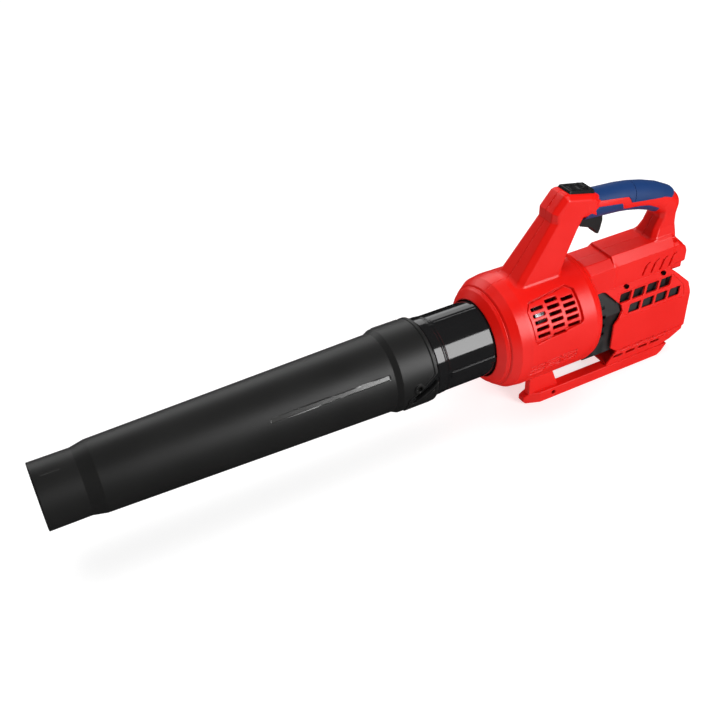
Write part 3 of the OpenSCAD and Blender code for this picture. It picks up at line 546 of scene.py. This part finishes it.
deck_front = span(outline([
    (-28.4, 22), (-28.4, 54.6), (-18.5, 63.8), (18.5, 63.8), (28.4, 54.6), (28.4, 22)], 0.8), 650, 732, 0.8)
deck_rear = span(outline([
    (-28.4, 22), (-28.4, 54.6), (-19.6, 67.2), (19.6, 67.2), (28.4, 54.6), (28.4, 22)], 0.8), 727, 826, 1.4)
tail = plate(outline([
    (815, 11), (815, 60.0), (836, 60.0), (TAIL_X - 3.5, 47.5), (TAIL_X, 41), (TAIL_X, 12), (851, 10)], 1.5),
    21.5, 0.9, 3.4)
flank = plate(outline([
    (800, 23), (800, 56), (834, 58.5), (TAIL_X - 4, 46.5), (TAIL_X - 1, 40), (TAIL_X - 1, 26),
    (849, 23)], 1.2), 27.6, 0.9, 3.6)
spine = join(join(join(deck_front, deck_rear, 1.0), tail, 1.0), flank, 0.6)
body = join(join(barrel, spine, 3.5), handle, 3.2)
for side in (-1, 1):
    foot = plate(outline([(606, -97), (652, -97), (640, -66), (606, -60)], 1.2), 5.0, 0.9, 0, side * 28.4)
    body = join(body, foot, 2.5)

body = cut(body, hollow, 0.6)
body = cut(body, block((690, -21, 15), (812, 21, 50), 1), 0.3)

PANEL_R = HOUSING_R
SLOT_PITCH = 8.66
PANEL_MID = 617
ARC = math.radians(1) * PANEL_R


def both_sides(shape):
    return lambda x, y, z: shape(x, -np.abs(y), z)


panel_line = outline([
    (580.5, 16.5 * ARC), (579.5, 47.5 * ARC), (586.5, 56.0 * ARC), (643, 60.5 * ARC), (651.5, 54.5 * ARC),
    (652.5, 23 * ARC), (649.5, 19.5 * ARC), (583, 14.5 * ARC)], 1.4)
body = cut(body, both_sides(round_patch(panel_line, PANEL_R, 2.2, 0, 8, 0.1)), 0.3)
rim_groove = round_patch(lambda x, s: np.abs(panel_line(x, s) + 0.9) - 0.9, PANEL_R, 3.7, 0, 8, 0.1)
body = cut(body, both_sides(rim_groove), 0.2)


def air_slots(x, y, z):
    """Three columns of upright rows of slots; the middle column sits half a row higher."""
    arc, depth = round_place(x, y, z, PANEL_R)
    column = np.clip(np.round((x - PANEL_MID) / 22), -1, 1)
    shift = np.where(column == 0, 3.4 * ARC, 0)
    top = np.where(column == 0, 5, 4)
    row = np.clip(np.round((48 * ARC + shift - arc) / SLOT_PITCH), 0, top)
    off_x = np.abs(x - PANEL_MID - column * 22) - 8.6
    thin = np.where((column == 0) & (row == 5), 0.9, 0)
    off_s = np.abs(arc - 48 * ARC - shift + row * SLOT_PITCH) - 2.25 + thin
    return meet(meet(off_x, off_s, 0.9), np.abs(depth + 1) - 6, 0.3)


body = cut(body, both_sides(air_slots), 0.35)


def low_lines(x, y, z):
    """Shallow blind lines below the air slots, in three stepped columns."""
    arc, depth = round_place(x, y, z, PANEL_R)
    column = np.clip(np.round((x - 610) / 23.5), -1, 1)
    row = np.clip(np.round((-10.5 * ARC + column * 1.5 - arc) / 4.6), 0, 3)
    off_x = np.abs(x - 610 - column * 23.5) - 10.6
    off_s = np.abs(arc + 10.5 * ARC - column * 1.5 + row * 4.6) - 1.25
    return meet(meet(off_x, off_s, 0.5), np.abs(depth) - 1.6, 0.2)


body = cut(body, both_sides(low_lines), 0.3)


def tail_grooves(x, y, z):
    """Four slanted grooves in each side of the tail."""
    number = np.clip(np.round((x - 779.5 - (z - 34) * 0.35) / 14.6), 0, 3)
    off_x = x - 779.5 - number * 14.6 - (z - 34) * 0.35 - np.clip(z - 40, 0, 6) * 0.9
    return meet(meet(np.abs(off_x) - 1.7, np.abs(z - 35) - 9.2, 1.2), 25.4 - np.abs(y), 0.3)


body = cut(body, tail_grooves, 0.5)

switch_slope = 11.7
SWITCH = (REAR_X - 12.5, DECK_Z + 97)
body = cut(body, tilted(block((657.5, -10.5, 154), (693.5, 10.5, 175), 1.0), switch_slope, SWITCH), 0.4)
body = cut(body, block((676, -8.7, 104), (722, 8.7, 144), 0.8), 0.5)

SCREWS = [(622, 98, 21.6), (644, 134, 18.2), (815, 78, 17.2), (793, 121, 13.0), (750, 44, 28.6)]
far_body = body
for screw_x, screw_z, half_width in SCREWS:
    far_body = cut(far_body, rod((screw_x, half_width - 4.8, screw_z), (screw_x, 60, screw_z), 3.7), 0.4)
SEAM = 0.02
for name, form, side in (("body_shell_left", body, -1), ("body_shell_right", far_body, 1)):
    half = common(form, lambda x, y, z, s=side: SEAM - s * y, 0.02)
    low_y, high_y = (-77, 3) if side < 0 else (-3, 77)
    node = "housing_left" if side < 0 else "housing_right"
    moulded(name, half, (548, low_y, -100), (857, high_y, 174), 1.0, shell_red, "root", [node])


# ---- Soft grips ----------------------------------------------------------------------------
# Two pads of blue thermoplastic rubber moulded over the handle, a long one on top and a smaller
# one under the fingers, with a stepped red strip between them.

grip_blue = plastic("grip_blue", (0.009, 0.040, 0.150), (0.007, 0.032, 0.122), 0.5, 2100, 0.0001,
                    (0.05, 0.10, 0.33), Sheen_Weight=0.02, Sheen_Roughness=0.5, Specular_IOR_Level=0.3)
PAD_R = GRIP_R + 1.0


def pad_form(side_outline, squared):
    """A pad: the part of a thin sleeve round the grip that lies within a side outline."""

    def sleeve(x, y, z):
        return line_away(x, y, z) - PAD_R

    within = plate(outline(side_outline, squared), 30, 0.2)
    pad = common(sleeve, within, 0.9)
    return cut(pad, lambda x, y, z: line_away(x, y, z) - GRIP_R + 0.8)


top_pad = pad_form([(699, 175), (697.5, 155), (703.5, 149.8), (741, 144.2), (746, 143), (751, 134.5),
                    (760, 133.2), (806, 126.4), (817, 122), (831, 127), (833, 160)], 1.5)
top_pad = cut(top_pad, lambda x, y, z: np.abs(x - 756 - (z - 140) * 0.3) - 0.35 + 50 * (z < 133.2), 0.2)
moulded("grip_pad_top", top_pad, (690, -21, 112), (836, 21, 164), 0.7, grip_blue, "root",
        ["grip_top"])

low_pad = pad_form([(682, 116), (684, 134.5), (690, 139.6), (700, 143.4), (736, 137.6), (741, 127.5),
                    (748, 125.2), (766, 124.6), (783, 120.6), (800, 111.5), (801, 100), (760, 106),
                    (700, 100)], 1.2)
trigger_mouth = block((600, -8.7, 104), (713, 8.7, 144), 0.8)
low_pad = cut(low_pad, trigger_mouth, 0.4)
moulded("grip_pad_low", low_pad, (680, -21, 98), (804, 21, 148), 0.7, grip_blue, "root",
        ["grip_bottom"])


# ---- Trigger -------------------------------------------------------------------------------
# A black moulded trigger that hinges on a pin at its front and is pressed up into the grip. Its
# face is hollowed for the finger and ends in a hooked toe.

trim_black = plastic("trim_black", (0.020, 0.020, 0.020), (0.016, 0.016, 0.0165), 0.38, 1700,
                     0.0001, (0.045, 0.045, 0.045))
PIVOT = (684.0, 136.0)
trigger_form = plate(outline([
    (679.6, 131.5), (679.4, 123), (683, 116.4), (691, 113.3), (698, 110.4), (703.5, 106.4), (709, 99.2),
    (713, 97.6), (715.2, 104), (717.2, 116), (716.4, 122), (709, 128), (697, 131.5)], 1.0), 7.3, 1.3)
trigger_form = join(trigger_form, rod((PIVOT[0], -7.3, PIVOT[1]), (PIVOT[0], 7.3, PIVOT[1]), 5.2, 0.6), 1.5)
trigger_form = cut(trigger_form, rod((PIVOT[0], -12, PIVOT[1]), (PIVOT[0], 12, PIVOT[1]), 2.05, 0.1))
trigger_form = cut(trigger_form, block((676, -2.6, 129.5), (692, 2.6, 143), 0.3), 0.2)
moulded("trigger_lever", trigger_form, (676, -9, 95), (720, 9, 143), 0.5, trim_black, "trigger_lever",
        ["trigger"])


# ---- Speed switch --------------------------------------------------------------------------
# A black bezel clipped into the sloping top before the grip, with a two-speed rocker in it. The
# rocker's rear half stands proud and carries grip bars.

switch_black = plastic("switch_black", (0.014, 0.014, 0.0145), (0.011, 0.011, 0.0115), 0.2, 1700,
                       0.00003, (0.04, 0.04, 0.04), Specular_IOR_Level=0.6)
BEZEL_TOP = SWITCH[1] + 6.6
bezel_side = outline([
    (655.4, BEZEL_TOP - 5.4), (657.6, BEZEL_TOP), (693.4, BEZEL_TOP), (695.6, BEZEL_TOP - 5.4)], 1.0)
bezel_form = common(plate(bezel_side, 30, 0), span(outline([
    (-12.0, BEZEL_TOP - 5.4), (-10.6, BEZEL_TOP), (10.6, BEZEL_TOP), (12.0, BEZEL_TOP - 5.4)], 0.8),
    600, 800, 0), 0.8)
bezel_form = join(bezel_form, block((658.5, -9.6, SWITCH[1] - 8.4), (692.5, 9.6, BEZEL_TOP - 1), 0.5), 0.3)
bezel_form = cut(bezel_form, block((662.0, -7.0, SWITCH[1] - 6), (689.4, 7.0, SWITCH[1] + 12), 0.7), 0.5)
moulded("switch_frame", tilted(bezel_form, switch_slope, SWITCH), (652, -14, 146), (700, 14, 178), 0.45,
        switch_black, "root", ["switch_bezel"])
rocker_form = plate(outline([
    (663.9, BEZEL_TOP - 1.2), (663.5, SWITCH[1] - 1), (672, SWITCH[1] - 4.4), (679, SWITCH[1] - 4.4),
    (687.6, SWITCH[1] - 1), (687.0, BEZEL_TOP + 1.6), (679.5, BEZEL_TOP + 2.2), (676.5, BEZEL_TOP - 0.8)],
    0.3), 6.5, 0.5)
for bar in range(3):
    bar_x = 681.0 + bar * 2.1
    gap = block((bar_x - 0.45, -4.6, BEZEL_TOP + 1.1), (bar_x + 0.45, 4.6, 180), 0.2)
    rocker_form = cut(rocker_form, gap, 0.2)
rocker_form = cut(rocker_form, rod((675.5, -12, SWITCH[1] - 1.5), (675.5, 12, SWITCH[1] - 1.5), 1.55, 0.05))
moulded("speed_key", tilted(rocker_form, switch_slope, SWITCH), (658, -8, 152), (693, 8, 177), 0.4,
        switch_black, "rocker", ["speed_rocker"])


# ---- Battery guard -------------------------------------------------------------------------
# Two red shells round the battery bay, screwed to the cradle. Each has a grille of slanted
# windows on its sloping upper face and two rows of fine slots along its lower edge.

GUARD_Y = 40.0
CREASE_Z = -20.0
guard_side = outline([
    (703, 26), (719.5, 19.5), (742.5, -4), (743.3, -11), (729.8, -28), (729.8, -65), (743.5, -75.5),
    (727, -96), (819, -96), (838, -91), (857, -81), (857, -16.5), (855.3, -5), (837, 12), (819, 27)], 1.8)
outer = outline([(0, 24.5), (-26, 24.5), (-27.4, 22), (-GUARD_Y, CREASE_Z), (-GUARD_Y, -72), (-37.4, -76),
                 (-37.4, -96), (0, -96)], 1.0)
inner = outline([(5, 21.0), (-22.8, 21.0), (-37.4, -20.4), (-37.4, -71.4), (-34.8, -75.4),
                 (-34.8, -93.4), (5, -93.4)], 0.6)
guard = common(span(outer, 600, 900, 0), plate(guard_side, 60, 0), 0.9)
guard = cut(guard, span(inner, 600, 900, 0), 0.3)
guard = common(guard, lambda x, y, z: y + SEAM, 0.02)
guard = cut(guard, block((600, -28.3, 21.9), (900, 4, 60), 0.1), 0.2)
guard = cut(guard, block((600, -23.05, 9), (900, 4, 60), 0.1), 0.2)


def windows(x, y, z):
    """The grille: two rows of slanted openings, the lower row set further back."""
    upper = z > -3.9
    row_z = np.where(upper, 4.4, -12.2)
    start = np.where(upper, 750.0, 763.5)
    lean = (z - row_z) * 0.44
    number = np.clip(np.round((x - start - lean) / 22.3), 0, 3)
    half_z = np.where(upper, 5.9, 5.4)
    return meet(meet(np.abs(x - start - lean - number * 22.3) - 9.2, np.abs(z - row_z) - half_z, 1.1),
                y + 20, 0.3)


# The grille lies in a shallow bed, 0.8 mm under the guard's face
recess = plate(outline([
    (738, 12.5), (829, 12.5), (846, -6), (846, -21.5), (754, -21.5), (746, -15)], 2), 60, 0)
recess_floor = span(outline([
    (-22.0, 40), (-26.4, 22), (0.8 - GUARD_Y, CREASE_Z), (0.8 - GUARD_Y, -60), (-60, -60),
    (-60, 40)], 0.2), 500, 900, 0)
guard = cut(guard, common(recess, recess_floor, 0.5), 0.5)
guard = cut(guard, windows, 0.4)


def edge_slots(x, y, z):
    """Two rows of fine slanted slots along the lower edge, as pairs of dashes."""
    row = np.where(z > -79.5, 0, 1)
    middle_z = -73.6 - row * 11.4
    number = np.clip(np.round((x - 756 + row * 9 - (z - middle_z) * 0.5) / 21), 0, 3)
    off_x = np.abs(x - 756 + row * 9 - (z - middle_z) * 0.5 - number * 21) - 7.6
    return meet(meet(off_x, np.abs(z - middle_z) - 1.7, 0.6), np.abs(np.abs(y) - 38) - 6, 0.2)


guard = cut(guard, edge_slots, 0.35)
guard = join(guard, block((738, -38.6, -80.8), (846, -36.4, -78.9), 0.7), 0.5)


def screw_eye(screw_x, screw_z):
    """A tipped oval hole round a screw's head, on the near side."""

    def away(x, y, z):
        dx, dz = x - screw_x, z - screw_z
        return np.hypot(dx * 0.94 - dz * 0.34, (dx * 0.34 + dz * 0.94) * 1.6) * 0.8 - 3.1

    return common(away, lambda x, y, z: y + 20, 0.3)


for screw_x in (752, 813):
    guard = cut(guard, screw_eye(screw_x, 19), 0.4)


def mirrored(shape):
    return lambda x, y, z: shape(x, -y, z)


for name, form, low_y, node in (("guard_shell_left", guard, -43, "guard_left"),
                                ("guard_shell_right", mirrored(guard), -3, "guard_right")):
    moulded(name, form, (696, low_y, -99), (860, low_y + 46, 28), 0.8, shell_red, "root", [node])


# ---- Runners -------------------------------------------------------------------------------
# A pair of red runners that the machine stands on, each held by one screw through its side. Their
# front ends toe in and their rear ends rise to the guard.

GROUND = -112.0
rail_side = outline([
    (600.2, -108.5), (604, GROUND), (818.5, GROUND), (825, -108), (834, -95.8), (608, -95.8),
    (600.2, -102)], 1.3)
rail_top = outline([
    (597, -29), (602, -30.5), (622, -38), (860, -38), (860, -23.2), (626, -23.2), (606, -20),
    (597, -19)], 1.0)


def rail_bar(x, y, z):
    """A runner: its side view and its top view in one."""
    return meet(rail_side(x, z), rail_top(x, y), 1.2)


rail = cut(rail_bar, rod((643, -60, -104), (643, -33, -104), 3.2, 0.4), 0.5)
for name, form, low_y, node in (("runner_left", rail, -40, "foot_rail_left"),
                                ("runner_right", mirrored(rail), 17, "foot_rail_right")):
    moulded(name, form, (596, low_y, -114), (838, low_y + 23, -93), 0.9, shell_red, "root",
            [node])


# ---- Fan and stator ------------------------------------------------------------------------
# A nine-bladed axial fan of glass-filled nylon, held on the shaft by a steel nut, and the fixed
# black vanes in front of it that straighten the air. A rubber seal sits in the duct's front end.


def dress(material, *nodes):
    """Gives CAD nodes that keep their shape a finish in place of the plain one."""
    for node in nodes:
        for place in CAD[node].material_slots:
            place.material = material


seal_rubber = plastic("seal_rubber", (0.020, 0.020, 0.020), (0.013, 0.013, 0.013), 0.75, 1900,
                      0.00006, (0.05, 0.05, 0.05), Sheen_Weight=0.1)
fan_nylon = plastic("fan_nylon", (0.034, 0.034, 0.037), (0.022, 0.022, 0.024), 0.5, 1300,
                    0.00008, (0.10, 0.10, 0.105))


def metal(name, colour, shade, roughness, **constants):
    """Bare or plated metal: a slightly mottled colour, uneven polish and fine tool marks."""
    finish = Finish(name, Metallic=1.0, **constants)
    mottle = finish.noise(70, 5, 0.65)
    finish.feed("Base Color", finish.blended(finish.ranged(mottle, 0.3, 0.7), shade, colour))
    finish.feed("Roughness", finish.ranged(mottle, 0.3, 0.7, roughness - 0.06, roughness + 0.08))
    finish.bumped(finish.noise(1400, 2), 0.25, 0.00003)
    return finish.material


steel_bright = metal("steel_bright", (0.56, 0.57, 0.58), (0.44, 0.45, 0.46), 0.3)
dress(seal_rubber, "tube_seal")
dress(trim_black, "stator_vanes")
dress(fan_nylon, "fan")
dress(steel_bright, "fan_nut")


# ---- Motor ---------------------------------------------------------------------------------
# A brushless motor behind the fan: a wound core of stamped sheets in a steel can, magnets on the
# rotor, two ball bearings, a cast end bell and a black bracket that four screws hold.


def banded(name, colour, shade, roughness, bands, direction, depth, **constants):
    """Metal in fine even bands, such as stacked sheets or the turns of a winding."""
    finish = Finish(name, Metallic=1.0, **constants)
    wave = finish.node("ShaderNodeTexWave", {"bands_direction": direction}, {
        "Vector": finish.place, "Scale": bands, "Distortion": 0.6, "Detail": 2.0})
    finish.feed("Base Color", finish.blended(wave, shade, colour))
    finish.feed("Roughness", finish.ranged(wave, 0, 1, roughness + 0.12, roughness))
    finish.bumped(wave + finish.noise(500) * 0.3, 0.5, depth)
    return finish.material


can_steel = metal("can_steel", (0.50, 0.51, 0.53), (0.38, 0.39, 0.41), 0.26)
sheet_stack = banded("sheet_stack", (0.34, 0.35, 0.37), (0.16, 0.16, 0.17), 0.36, 620, "X", 0.0001)
copper_turns = banded("copper_turns", (0.62, 0.25, 0.10), (0.30, 0.10, 0.035), 0.3, 210, "X", 0.0003,
                      Coat_Weight=0.5, Coat_Roughness=0.15)
magnet_plate = metal("magnet_plate", (0.20, 0.20, 0.215), (0.13, 0.13, 0.14), 0.42)
cast_alloy = metal("cast_alloy", (0.62, 0.63, 0.64), (0.50, 0.51, 0.52), 0.46)
dress(can_steel, "motor_can", "bearing_front", "bearing_rear", "motor_shaft")
dress(steel_bright, "motor_screws")
dress(sheet_stack, "rotor_core", "motor_core")
dress(magnet_plate, "rotor_magnets")
dress(copper_turns, "motor_windings")
dress(cast_alloy, "end_bell")
dress(trim_black, "motor_bracket")


# ---- Screws and pins -----------------------------------------------------------------------
# Blackened steel screws join the shells from the far side and hold the guard and the runners. The
# trigger and the rocker turn on ground steel pins, and a coil spring returns the trigger.

screw_black = metal("screw_black", (0.060, 0.060, 0.064), (0.035, 0.035, 0.038), 0.36)
spring_steel = metal("spring_steel", (0.36, 0.37, 0.39), (0.24, 0.25, 0.27), 0.28)
dress(screw_black, "housing_screws", "guard_screws", "foot_screws", "battery_screws")
dress(steel_bright, "trigger_pin", "rocker_pin")
dress(spring_steel, "trigger_spring")


# ---- Electrics -----------------------------------------------------------------------------
# A green control board with its parts and a finned heat sink stands in front of the battery bay.
# Red wires run from it to the switch and the motor, and four brass blades reach into the pack.


def board_green():
    """Solder mask over copper traces: blocks of paler green with a glossy, slightly raised face."""
    finish = Finish("board_green", Coat_Weight=0.4, Coat_Roughness=0.2)
    tracks = finish.node("ShaderNodeTexVoronoi", {"distance": "CHEBYCHEV"}, {
        "Vector": finish.place, "Scale": 260.0, "Randomness": 0.85})
    mask = finish.ranged(tracks, 0.36, 0.42)
    finish.feed("Base Color", finish.blended(mask, (0.010, 0.075, 0.030), (0.020, 0.15, 0.055)))
    finish.feed("Roughness", finish.ranged(finish.noise(90), 0.3, 0.7, 0.3, 0.42))
    finish.bumped(mask, 0.3, 0.00005)
    return finish.material


green_board = board_green()
parts_dark = plastic("parts_dark", (0.030, 0.030, 0.033), (0.018, 0.018, 0.020), 0.42, 1500,
                     0.00005, (0.08, 0.08, 0.085))
wire_red = plastic("wire_red", (0.42, 0.016, 0.012), (0.33, 0.010, 0.008), 0.42, 1200, 0.00004,
                   (0.5, 0.08, 0.06))
blade_brass = metal("blade_brass", (0.66, 0.49, 0.20), (0.52, 0.37, 0.14), 0.24)
dress(green_board, "control_board", "battery_board")
dress(parts_dark, "board_parts", "terminal_block", "trigger_switch")
dress(cast_alloy, "heat_sink")
dress(blade_brass, "terminal_blades", "battery_contacts")
dress(wire_red, "wiring")


# ---- Cradle --------------------------------------------------------------------------------
# The black moulded box between the motor and the battery, screwed under the spine. Its roof carries
# the rails that the pack hangs from, and the guard's two shells are screwed to it.

dress(trim_black, "cradle")


# ---- Battery pack --------------------------------------------------------------------------
# A slide-in lithium pack in two moulded halves, black above and dark grey below, screwed together
# from underneath. A head with side rails runs in the cradle; ribbed flanks give the fingers a hold.

pack_black = plastic("pack_black", (0.024, 0.024, 0.025), (0.018, 0.018, 0.019), 0.44, 1500,
                     0.0001, (0.06, 0.06, 0.062))
pack_grey = plastic("pack_grey", (0.075, 0.076, 0.080), (0.060, 0.061, 0.064), 0.48, 1500,
                    0.0001, (0.13, 0.13, 0.135))
PACK_X, PACK_END = 748.0, 854.0
PACK_LOW, PACK_TOP, SPLIT_Z = -84.0, -4.0, -34.0
GAUGE_Z, BUTTON_Y, LATCH_Z = -22.0, 14.0, -62.0
CASE_WALL = 2.5
pack_side = plate(outline([
    (PACK_X, -78), (754, PACK_LOW), (843, PACK_LOW), (PACK_END, -74), (PACK_END, -12), (846, PACK_TOP),
    (PACK_X, PACK_TOP)], 2.5), 60, 0)
pack_section = span(outline([
    (-34.6, PACK_LOW), (-34.6, -71), (-35, -67), (-35, -23), (-30, PACK_TOP), (30, PACK_TOP), (35, -23),
    (35, -67), (34.6, -71), (34.6, PACK_LOW)], 1.5), 700, 900, 0)
pack = common(pack_side, pack_section, 1.4)
case = cut(pack, lambda x, y, z: pack(x, y, z) + CASE_WALL)
case = join(case, block((PACK_X, -20, -7), (827, 20, 5), 1.0), 0.6)
for side in (-1, 1):
    case = cut(case, block((740, min(side * 21, side * 17.2), -2.6), (824, max(side * 21, side * 17.2), 1.2),
                           0.4), 0.3)
for contact in range(4):
    slot_y = (contact - 1.5) * 7
    case = cut(case, block((740, slot_y - 1.2, -1.8), (770, slot_y + 1.2, 8), 0.2), 0.2)
    case = cut(case, block((749.8, slot_y - 2.8, -1.3), (768.3, slot_y + 2.8, 4.1), 0.1), 0.1)


def flank_ribs(x, y, z):
    """Upright finger grooves in both flanks near the pack's rear end."""
    number = np.clip(np.round((x - 812) / 5), 0, 6)
    return meet(meet(np.abs(x - 812 - number * 5) - 1.3, np.abs(z + 56) - 13, 1.0), 34.0 - np.abs(y), 0.3)


case = cut(case, flank_ribs, 0.4)
flank_panel = common(block((760, -40, -73), (803, 40, -41), 2), lambda x, y, z: 34.5 - np.abs(y), 0.2)
case = cut(case, flank_panel, 0.3)
case = cut(case, block((850, -13, GAUGE_Z - 4), (860, 7, GAUGE_Z + 4), 1.0), 0.4)
case = cut(case, rod((848, BUTTON_Y, GAUGE_Z), (860, BUTTON_Y, GAUGE_Z), 4.0, 0.1), 0.4)
case = cut(case, block((847, -17.4, LATCH_Z - 8.4), (860, 17.4, LATCH_Z + 8.4), 1.0), 0.5)
scoop = block((852.9, -21, LATCH_Z - 4), (860, 21, LATCH_Z + 17), 2.5)
case = cut(case, scoop, 0.8)
for row_x in (760, 837):
    for side in (-27, 27):
        case = cut(case, rod((row_x, side, PACK_LOW - 3), (row_x, side, PACK_LOW + 2.6), 3.2, 0.2), 0.3)
SPLIT = 0.15
moulded("pack_case_upper", common(case, lambda x, y, z: SPLIT_Z + SPLIT - z, 0.4), (744, -38, -38),
        (858, 38, 8), 0.9, pack_black, "battery", ["battery_upper"])
moulded("pack_case_lower", common(case, lambda x, y, z: z - SPLIT_Z + SPLIT, 0.4), (744, -38, -87),
        (858, 38, -30), 0.9, pack_grey, "battery", ["battery_lower"])


def cell_skin():
    """Shrunk sleeves of blue film, a little darker in places and very glossy."""
    finish = Finish("cell_skin", Coat_Weight=0.3, Coat_Roughness=0.1)
    finish.feed("Base Color", finish.blended(finish.noise(30, 3), (0.02, 0.09, 0.26), (0.03, 0.13, 0.34)))
    finish.feed("Roughness", finish.ranged(finish.noise(120), 0.3, 0.7, 0.22, 0.32))
    finish.bumped(finish.noise(300), 0.15, 0.00005)
    return finish.material


dress(cell_skin(), "battery_cells")
dress(metal("strap_nickel", (0.60, 0.59, 0.56), (0.48, 0.47, 0.45), 0.3), "cell_straps")


# ---- Latch and charge gauge ----------------------------------------------------------------
# The pack's rear face has a sprung latch with ribs for the thumb, a round button, and a long clear
# window over four lamps that show the charge.

latch_form = block((850.5, -17, LATCH_Z - 8), (856, 17, LATCH_Z + 8), 1.2)
latch_form = cut(latch_form, rod((895.3, -30, LATCH_Z + 1), (895.3, 30, LATCH_Z + 1), 40, 0), 0.4)
for rib in range(4):
    rib_z = LATCH_Z - 4.6 + rib * 3
    latch_form = cut(latch_form, block((854.3, -14, rib_z - 0.6), (858, 14, rib_z + 0.6), 0.3), 0.3)
latch_form = join(latch_form, block((848.5, -19, LATCH_Z - 10), (850.5, 19, LATCH_Z + 10), 0.4), 0.3)
moulded("pack_latch", latch_form, (846, -21, -74), (858, 21, -50), 0.5, pack_grey, "latch",
        ["battery_latch"])
button_form = rod((850, BUTTON_Y, GAUGE_Z), (855, BUTTON_Y, GAUGE_Z), 3.6, 0.6)
button_form = cut(button_form, rod((854.4, BUTTON_Y, GAUGE_Z), (858, BUTTON_Y, GAUGE_Z), 2.3, 0.2), 0.3)
button_form = join(button_form, rod((848.5, BUTTON_Y, GAUGE_Z), (850, BUTTON_Y, GAUGE_Z), 5.0, 0.3), 0.2)
moulded("gauge_key", button_form, (846, 7, -29), (857, 21, -15), 0.35, pack_grey, "gauge",
        ["gauge_button"])
lens_form = block((851.5, -12.8, GAUGE_Z - 3.8), (853.7, 6.8, GAUGE_Z + 3.8), 0.7)
for lamp in range(4):
    lamp_y = -9.6 + lamp * 4.4
    lens_form = cut(lens_form, rod((853.2, lamp_y, GAUGE_Z), (856, lamp_y, GAUGE_Z), 1.1, 0.1), 0.2)


def lens_clear():
    """Smoked clear plastic over a pale diffuser."""
    finish = Finish("lens_clear", Coat_Weight=0.8, Coat_Roughness=0.05)
    finish.feed("Base Color", finish.blended(finish.noise(60), (0.30, 0.36, 0.31), (0.38, 0.45, 0.39)))
    finish.feed("Roughness", finish.ranged(finish.noise(25), 0.3, 0.7, 0.12, 0.2))
    return finish.material


moulded("gauge_window", lens_form, (849, -15, -28), (856, 9, -16), 0.35, lens_clear(), "battery",
        ["gauge_lens"])


# ---- Floor, light and camera ---------------------------------------------------------------
# A pale studio floor that glows, a key light from the front, a broad light overhead and
# a wide one behind. Only the camera sees the white world, and only two of the lights mirror.

def pale_floor():
    finish = Finish("pale_floor", Roughness=0.7, Specular_IOR_Level=0.1, Emission_Strength=0.66)
    finish.feed("Base Color", finish.blended(finish.noise(3), (0.52, 0.52, 0.52), (0.54, 0.54, 0.54)))
    finish.shader.inputs["Emission Color"].default_value = (1, 1, 1, 1)
    return finish.material


floor_mesh = bpy.data.meshes.new("studio_floor")
FLOOR_HALF = 12
floor_mesh.from_pydata([(-FLOOR_HALF, -FLOOR_HALF, 0), (FLOOR_HALF, -FLOOR_HALF, 0),
                        (FLOOR_HALF, FLOOR_HALF, 0), (-FLOOR_HALF, FLOOR_HALF, 0)], [], [(0, 1, 2, 3)])
floor_mesh.materials.append(pale_floor())
floor = bpy.data.objects.new("studio_floor", floor_mesh)
floor.location.z = cad_size[0][2] - 0.0005
bpy.context.scene.collection.objects.link(floor)
floor.visible_glossy = False


def soft_light(name, place, target, size, power, mirrored_in=True):
    lamp = bpy.data.lights.new(name, "AREA")
    lamp.shape = "RECTANGLE"
    lamp.size, lamp.size_y = size
    lamp.energy = power
    thing = bpy.data.objects.new(name, lamp)
    thing.location = place
    thing.visible_glossy = mirrored_in
    thing.rotation_euler = (Vector(target) - Vector(place)).to_track_quat("-Z", "Y").to_euler()
    bpy.context.scene.collection.objects.link(thing)


soft_light("key_light", (0.95, -1.6, 1.0), (0.05, 0, 0.15), (0.9, 1.3), 34)
soft_light("top_light", (-0.1, 0.3, 2.1), (0, 0.1, 0), (2.4, 1.8), 38, False)
soft_light("back_light", (0.3, 2.0, 1.1), (0.05, 0, 0.15), (3.0, 1.2), 22)

world = bpy.data.worlds.new("studio")
bpy.context.scene.world = world
world.use_nodes = True
world.node_tree.nodes["Background"].inputs["Color"].default_value = (1, 1, 1, 1)
world.node_tree.nodes["Background"].inputs["Strength"].default_value = 1.0
world.cycles_visibility.glossy = False
world.cycles_visibility.diffuse = False
bpy.context.scene.view_settings.view_transform = "Standard"

SENSOR = 36.0
LENS = 48.87
camera_data = bpy.data.cameras.new("camera")
camera_data.sensor_width = SENSOR
camera_data.lens = LENS
camera = bpy.data.objects.new("camera", camera_data)
bpy.context.scene.collection.objects.link(camera)
turn, rise, roll = math.radians(-26.16), math.radians(37.63), math.radians(-2.86)
back = Vector((math.sin(turn) * math.cos(rise), -math.cos(turn) * math.cos(rise), math.sin(rise)))
level = Vector((0, 0, 1)).cross(back).normalized()
upright = back.cross(level)
right = math.cos(roll) * level + math.sin(roll) * upright
up = math.cos(roll) * upright - math.sin(roll) * level
eye = Vector(to_frame((-12.3, -793.1, 716.5)))
camera.matrix_world = Matrix((
    (right.x, up.x, back.x, eye.x), (right.y, up.y, back.y, eye.y),
    (right.z, up.z, back.z, eye.z), (0, 0, 0, 1)))
bpy.context.scene.camera = camera
